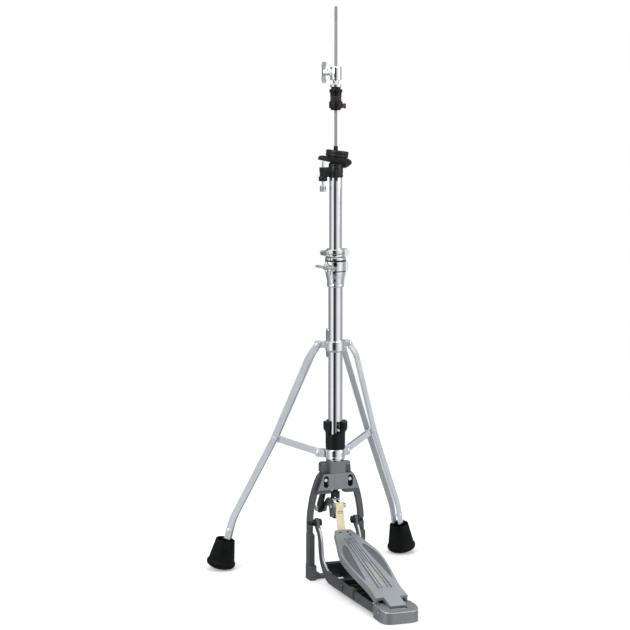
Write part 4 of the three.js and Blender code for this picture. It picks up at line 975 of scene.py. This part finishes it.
for x, along, lying in stitches:
    across = 3.0 - (along - 14) * 0.05 if along > 14 else 3.0 + (14 - along) * 0.22
    stitch = rod_x(0.42, -0.5, 0.5, 0, 0, 8, 0.1)
    if not lying:
        stitch = turn(stitch, "Z", 90)
        stitch = turn(stitch, "X", math.degrees(math.atan2(DOWN.y, DOWN.x)))
    y, z = strap_point(along, across)
    thread.append(move(stitch, x, y, z))
seam = piece("strap_stitching", joined(*thread), "felt", body="strap_link", bevel=0)
STRAPPING = [strap, seam]


# ---------- footboard ----------
SLOPE = math.degrees(math.atan2(76, 296))


def on_board(bm):
    return move(turn(bm, "X", SLOPE), 0, *HEEL_AXIS)


HALF_WIDTHS = [(30, 32.5), (50, 31.5), (70, 31.5), (95, 33.5), (120, 36.5), (145, 39), (165, 40.5), (190, 41),
               (215, 38.5), (240, 33), (265, 26.5), (285, 22), (298, 18.8), (301.6, 17), (303, 14)]
edge_line = smooth_line(HALF_WIDTHS, 4, False)


def board_outline(inset, s0=0.0, s1=400.0):
    right = [(min(w, 41) - inset, s) for s, w in edge_line if s0 <= s <= s1]
    return right + [(-w, s) for w, s in reversed(right)]


top_plate = slab(board_outline(0), 6, 12)
skirt = cut(slab(board_outline(0), -2, 7), slab(board_outline(4, 0, 285), -3, 6))
tongue = fused(box(-16.5, 16.5, -4, 32, 4, 12), rod_x(7.2, -16.5, 16.5, 0, 0, 48))
PANEL = [(15.5, 233), (20.5, 243), (28.5, 228), (34, 208), (36.8, 186), (36.4, 162), (34.8, 142), (32.2, 120),
         (27.5, 96)]
panel = round_outline(PANEL, [3, 4, 9, 10, 10, 9, 10, 9, 2], 5)
tools = [slab(panel, 10.5, 15), slab([(-a, b) for a, b in panel], 10.5, 15)]
ridges = []
for u in (-1, 1):
    for low_x, high_x in ((6.2, 3.6), (12.2, 9.6)):
        low_x, high_x = u * low_x, u * high_x
        tools.append(slab(round_outline([(low_x - 0.9, 64), (low_x + 0.9, 64), (high_x + 0.7, 268),
                                         (high_x - 0.7, 268)], 0.6), 10.2, 15))
    ridges.append(slab(round_outline([(u * 7.7, 68), (u * 10.7, 68), (u * 7.6, 266), (u * 5.6, 266)], 1), 11.6, 12.45))
tools += [rod_x(3.6, -20, 20, 0, 0), box(-40, -16.2, -10, 26, -20, 20), box(16.2, 40, -10, 26, -20, 20),
          box(-9, 9, 284, 310, -8, 6.4)]
board = cut(fused(top_plate, skirt, tongue), *tools)
show("footboard", on_board(board), "board_paint", bevel=0.8, segments=3, edge="edge_light")
inlay = []
for s in (-1, 1):
    inner = [(a + (26 - a) * 0.025, b + (168 - b) * 0.012) for a, b in panel]
    inlay.append(slab([(s * a, b) for a, b in inner], 10.3, 10.7))
    for k in range(14):
        b = 108 + k * 9
        left = 27.5 - 12 * (b - 96) / 137 + 2.2
        crossing = [p[0] for p in panel if p[0] > 24 and abs(p[1] - b) < 9]
        right = (sum(crossing) / len(crossing) if crossing else left) - 2.6
        if right - left > 3:
            rib = slab(round_outline([(s * left, b), (s * right, b + 2.4), (s * right, b + 3.4), (s * left, b + 1)],
                                     0.3), 10.6, 10.95)
            inlay.append(rib)
# The raised ridges take the lighter edge material: a painted highlight on the ridges.
piece("footboard_ridges", on_board(joined(*ridges)), "edge_light", body="board", bevel=0.2)
dark_sheet = [slab(round_outline([(u * 11.2, 62), (u * 15.2, 66), (u * 9.8, 270), (u * 8.4, 270)], [2, 2, 0.5, 0.5]),
               11.9, 12.12) for u in (-1, 1)]
dark_sheet.append(slab([(-1.0, 168), (1.0, 168), (0.7, 268), (-0.7, 268)], 11.9, 12.12))
piece("groove_lining", on_board(joined(*dark_sheet)), "board_panel", body="board", bevel=0)
piece("centre_strip", on_board(slab(round_outline([(-4.6, 72), (4.6, 72), (2.6, 166), (-2.6, 166)], 1.6), 11.9, 12.1)),
      "centre_inlay", body="board", bevel=0)
screws = []
for x, b in ((-8, 293), (8, 293), (8.5, 281)):
    screws.append(move(lathe([(0, 11.8), (2.4, 11.8), (2.4, 12.5), (1.6, 12.9), (0.9, 12.9), (0.9, 12.3), (0, 12.3)],
                             24), x, b, 0))
piece("toe_screws", on_board(joined(*screws)), "black_metal", body="board", bevel=0)
piece("footboard_side_panels", on_board(joined(*inlay)), "board_panel", body="board", bevel=0.15)
clamp = joined(plate(-8.6, 285, 8.6, 302, 2, -1.6, 2.2),
               move(rod(2.6, 1, 6.1), -4.5, 290, 0), move(rod(2.6, 1, 6.1), 4.5, 290, 0))
show("toe_clamp", on_board(clamp), "bright_steel", bevel=0.3)


# ---------- pedal base ----------
heel_line = [(38, -305), (38, -338)] + smooth_line([(37.4, -345), (33.5, -353.5), (26, -359.3), (16, -361), (0, -361),
                                                    (-16, -361), (-26, -359.3), (-33.5, -353.5), (-37.4, -345)],
                                                   5, False) + [(-38, -338), (-38, -305)]
heel = cut(slab(heel_line, 0, 27), move(turn(box(-50, 50, -42, 10, 0, 30), "X", math.degrees(0.16)), 0, -334, 27),
           plate(-17, -345, 17, -300, [3, 3, 0, 0], 8, 40),
           rod_x(3.6, -50, 50, *HEEL_AXIS), box(-29, 29, -322, -300, 4, 22))
show("heel_plate", heel, "heel_paint", bevel=1.6, segments=4, edge="edge_light")
show("footboard_hinge_pin", rod_x(3.2, -34, 34, *HEEL_AXIS), "bright_steel", bevel=0)


def rail(s):
    edge = [(-14, 116), (-12.6, 121), (-9.5, 124.4), (-5, 125.5), (-0.5, 124.4), (2.6, 121), (4, 116), (2.6, 111),
            (0, 107), (-6, 101.5), (-13, 96), (-17.6, 89), (-20, 80), (-22, 68), (-24, 56), (-27.6, 45), (-34, 36),
            (-42, 27.4), (-52, 19), (-66, 11.4), (-81, 8), (-140, 8), (-200, 8), (-304.5, 9), (-304.5, 24), (-224, 26),
            (-143, 29), (-112, 29), (-90, 29), (-80, 29.8), (-72, 32), (-60, 37.4), (-50, 44), (-42.6, 51), (-39, 58),
            (-37, 69), (-36, 80), (-32.6, 91), (-27, 100), (-20, 108)]
    bar = slab(edge, 39, 44.5, "YZ")
    boss = fused(plate(-188, 11, -212, 31, 3, 38.9, 48.5, "YZ"), plate(-140, 13, -156, 25, 3, 40, 47.5, "YZ"))
    rib = slab([(-100, 26.2), (-298, 21.2), (-298, 23.2), (-100, 28.2)], 44, 45.5, "YZ")
    bar = cut(fused(bar, boss), rod_x(5, 30, 50, *FOLD_AXIS))
    bar = joined(bar, rib)
    for v in bar.verts:
        v.co.x -= 6.5 * max(0.0, -60 - v.co.y) / 244.5
    return on_side(bar, s)


def rail_edge(s):
    """A bright bare-metal strip along the front edge of an arm: a painted highlight."""
    front = [(-20, 108), (-27, 100), (-32.6, 91), (-36, 80), (-37, 69), (-39, 58), (-42.6, 51), (-50, 44), (-60, 37.4),
             (-72, 32)]
    line = [(y - 0.5, z + 0.2) for y, z in front] + [(y + 1.6, z - 0.8) for y, z in reversed(front)]
    strip = slab(line, 40.2, 43.4, "YZ")
    return on_side(strip, s)


piece("rail_edge_highlights", joined(rail_edge(1), rail_edge(-1)), "edge_bright", body="pedal_base", bevel=0.2)
show("right_rail", rail(1), "dark_paint", bevel=0.8, edge="edge_light")
show("left_rail", rail(-1), "dark_paint", bevel=0.8, edge="edge_light")
pan = slab([(-36.4, -124.6), (36.4, -124.6), (32.1, -300), (32.1, -304.6), (28.4, -304.6), (28.4, -318),
            (-28.4, -318), (-28.4, -304.6), (-32.1, -304.6), (-32.1, -300)], 12, 15)
ribs = [slab(round_outline([(y - 3, 14), (y + 3, 14), (y + 2.2, 22), (y - 2.2, 22)], [0, 0, 1.4, 1.4]), -30, 30, "YZ")
        for y in (-150, -180, -210, -240)]
ribs += [box(x - 1.5, x + 1.5, -300, -126, 14, 19) for x in (-27.5, 0, 27.5)]
ribs += [box(-26, 26, -62, -50, 14, 27), box(-8, 8, -126, -61, 14, 24), box(-36.8, 36.8, -128, -111, 12, 26),
         plate(-62, 26, -44, 44, 2.5, -38.3, 38.3, "YZ")]
windows = []
for y in (-165, -195, -225, -255):
    for x in (-15.5, 15.5):
        windows.append(plate(x - 9.5, y - 8, x + 9.5, y + 8, 3, 0, 20))
show("base_pan", joined(cut(pan, *windows), *ribs), "black_metal", bevel=0.5)


def fold_bolt(s):
    parts = [rod_x(4, 36, 58, *FOLD_AXIS), rod_x(7, 44.9, 49.1, *FOLD_AXIS, 40, 0.4),
             move(turn(lathe([(0, 0), (5.6, 0), (6.9, 0.6), (7.5, 1.8), (7.5, 5.4), (6.6, 6.5), (0, 6.5)], 40), "Y",
                       90), 32, *FOLD_AXIS)]
    bolt = joined(*parts)
    return on_side(bolt, s)


show("right_fold_bolt", fold_bolt(1), "black_metal", bevel=0.2)
show("left_fold_bolt", fold_bolt(-1), "black_metal", bevel=0.2)

# The strap is slack while the base is folded up; here the strap and its stitching only get meshes of their own.
for soft in STRAPPING:
    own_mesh(soft)


# ---------- CAD nodes that keep their own shape ----------
NODE_LOOK = {}
for entry in frame["record"]["subparts"]:
    NODE_LOOK[entry["node"]] = entry["material_slot"]
for name, ob in frame["nodes"].items():
    if ob.hide_render:
        continue
    ob.data.materials.clear()
    ob.data.materials.append(LOOK.get(NODE_LOOK.get(name), LOOK["chrome_plate"]))
    ob.data.shade_smooth()
    ob.data.set_sharp_from_angle(angle=math.radians(32))

bpy.context.view_layer.update()
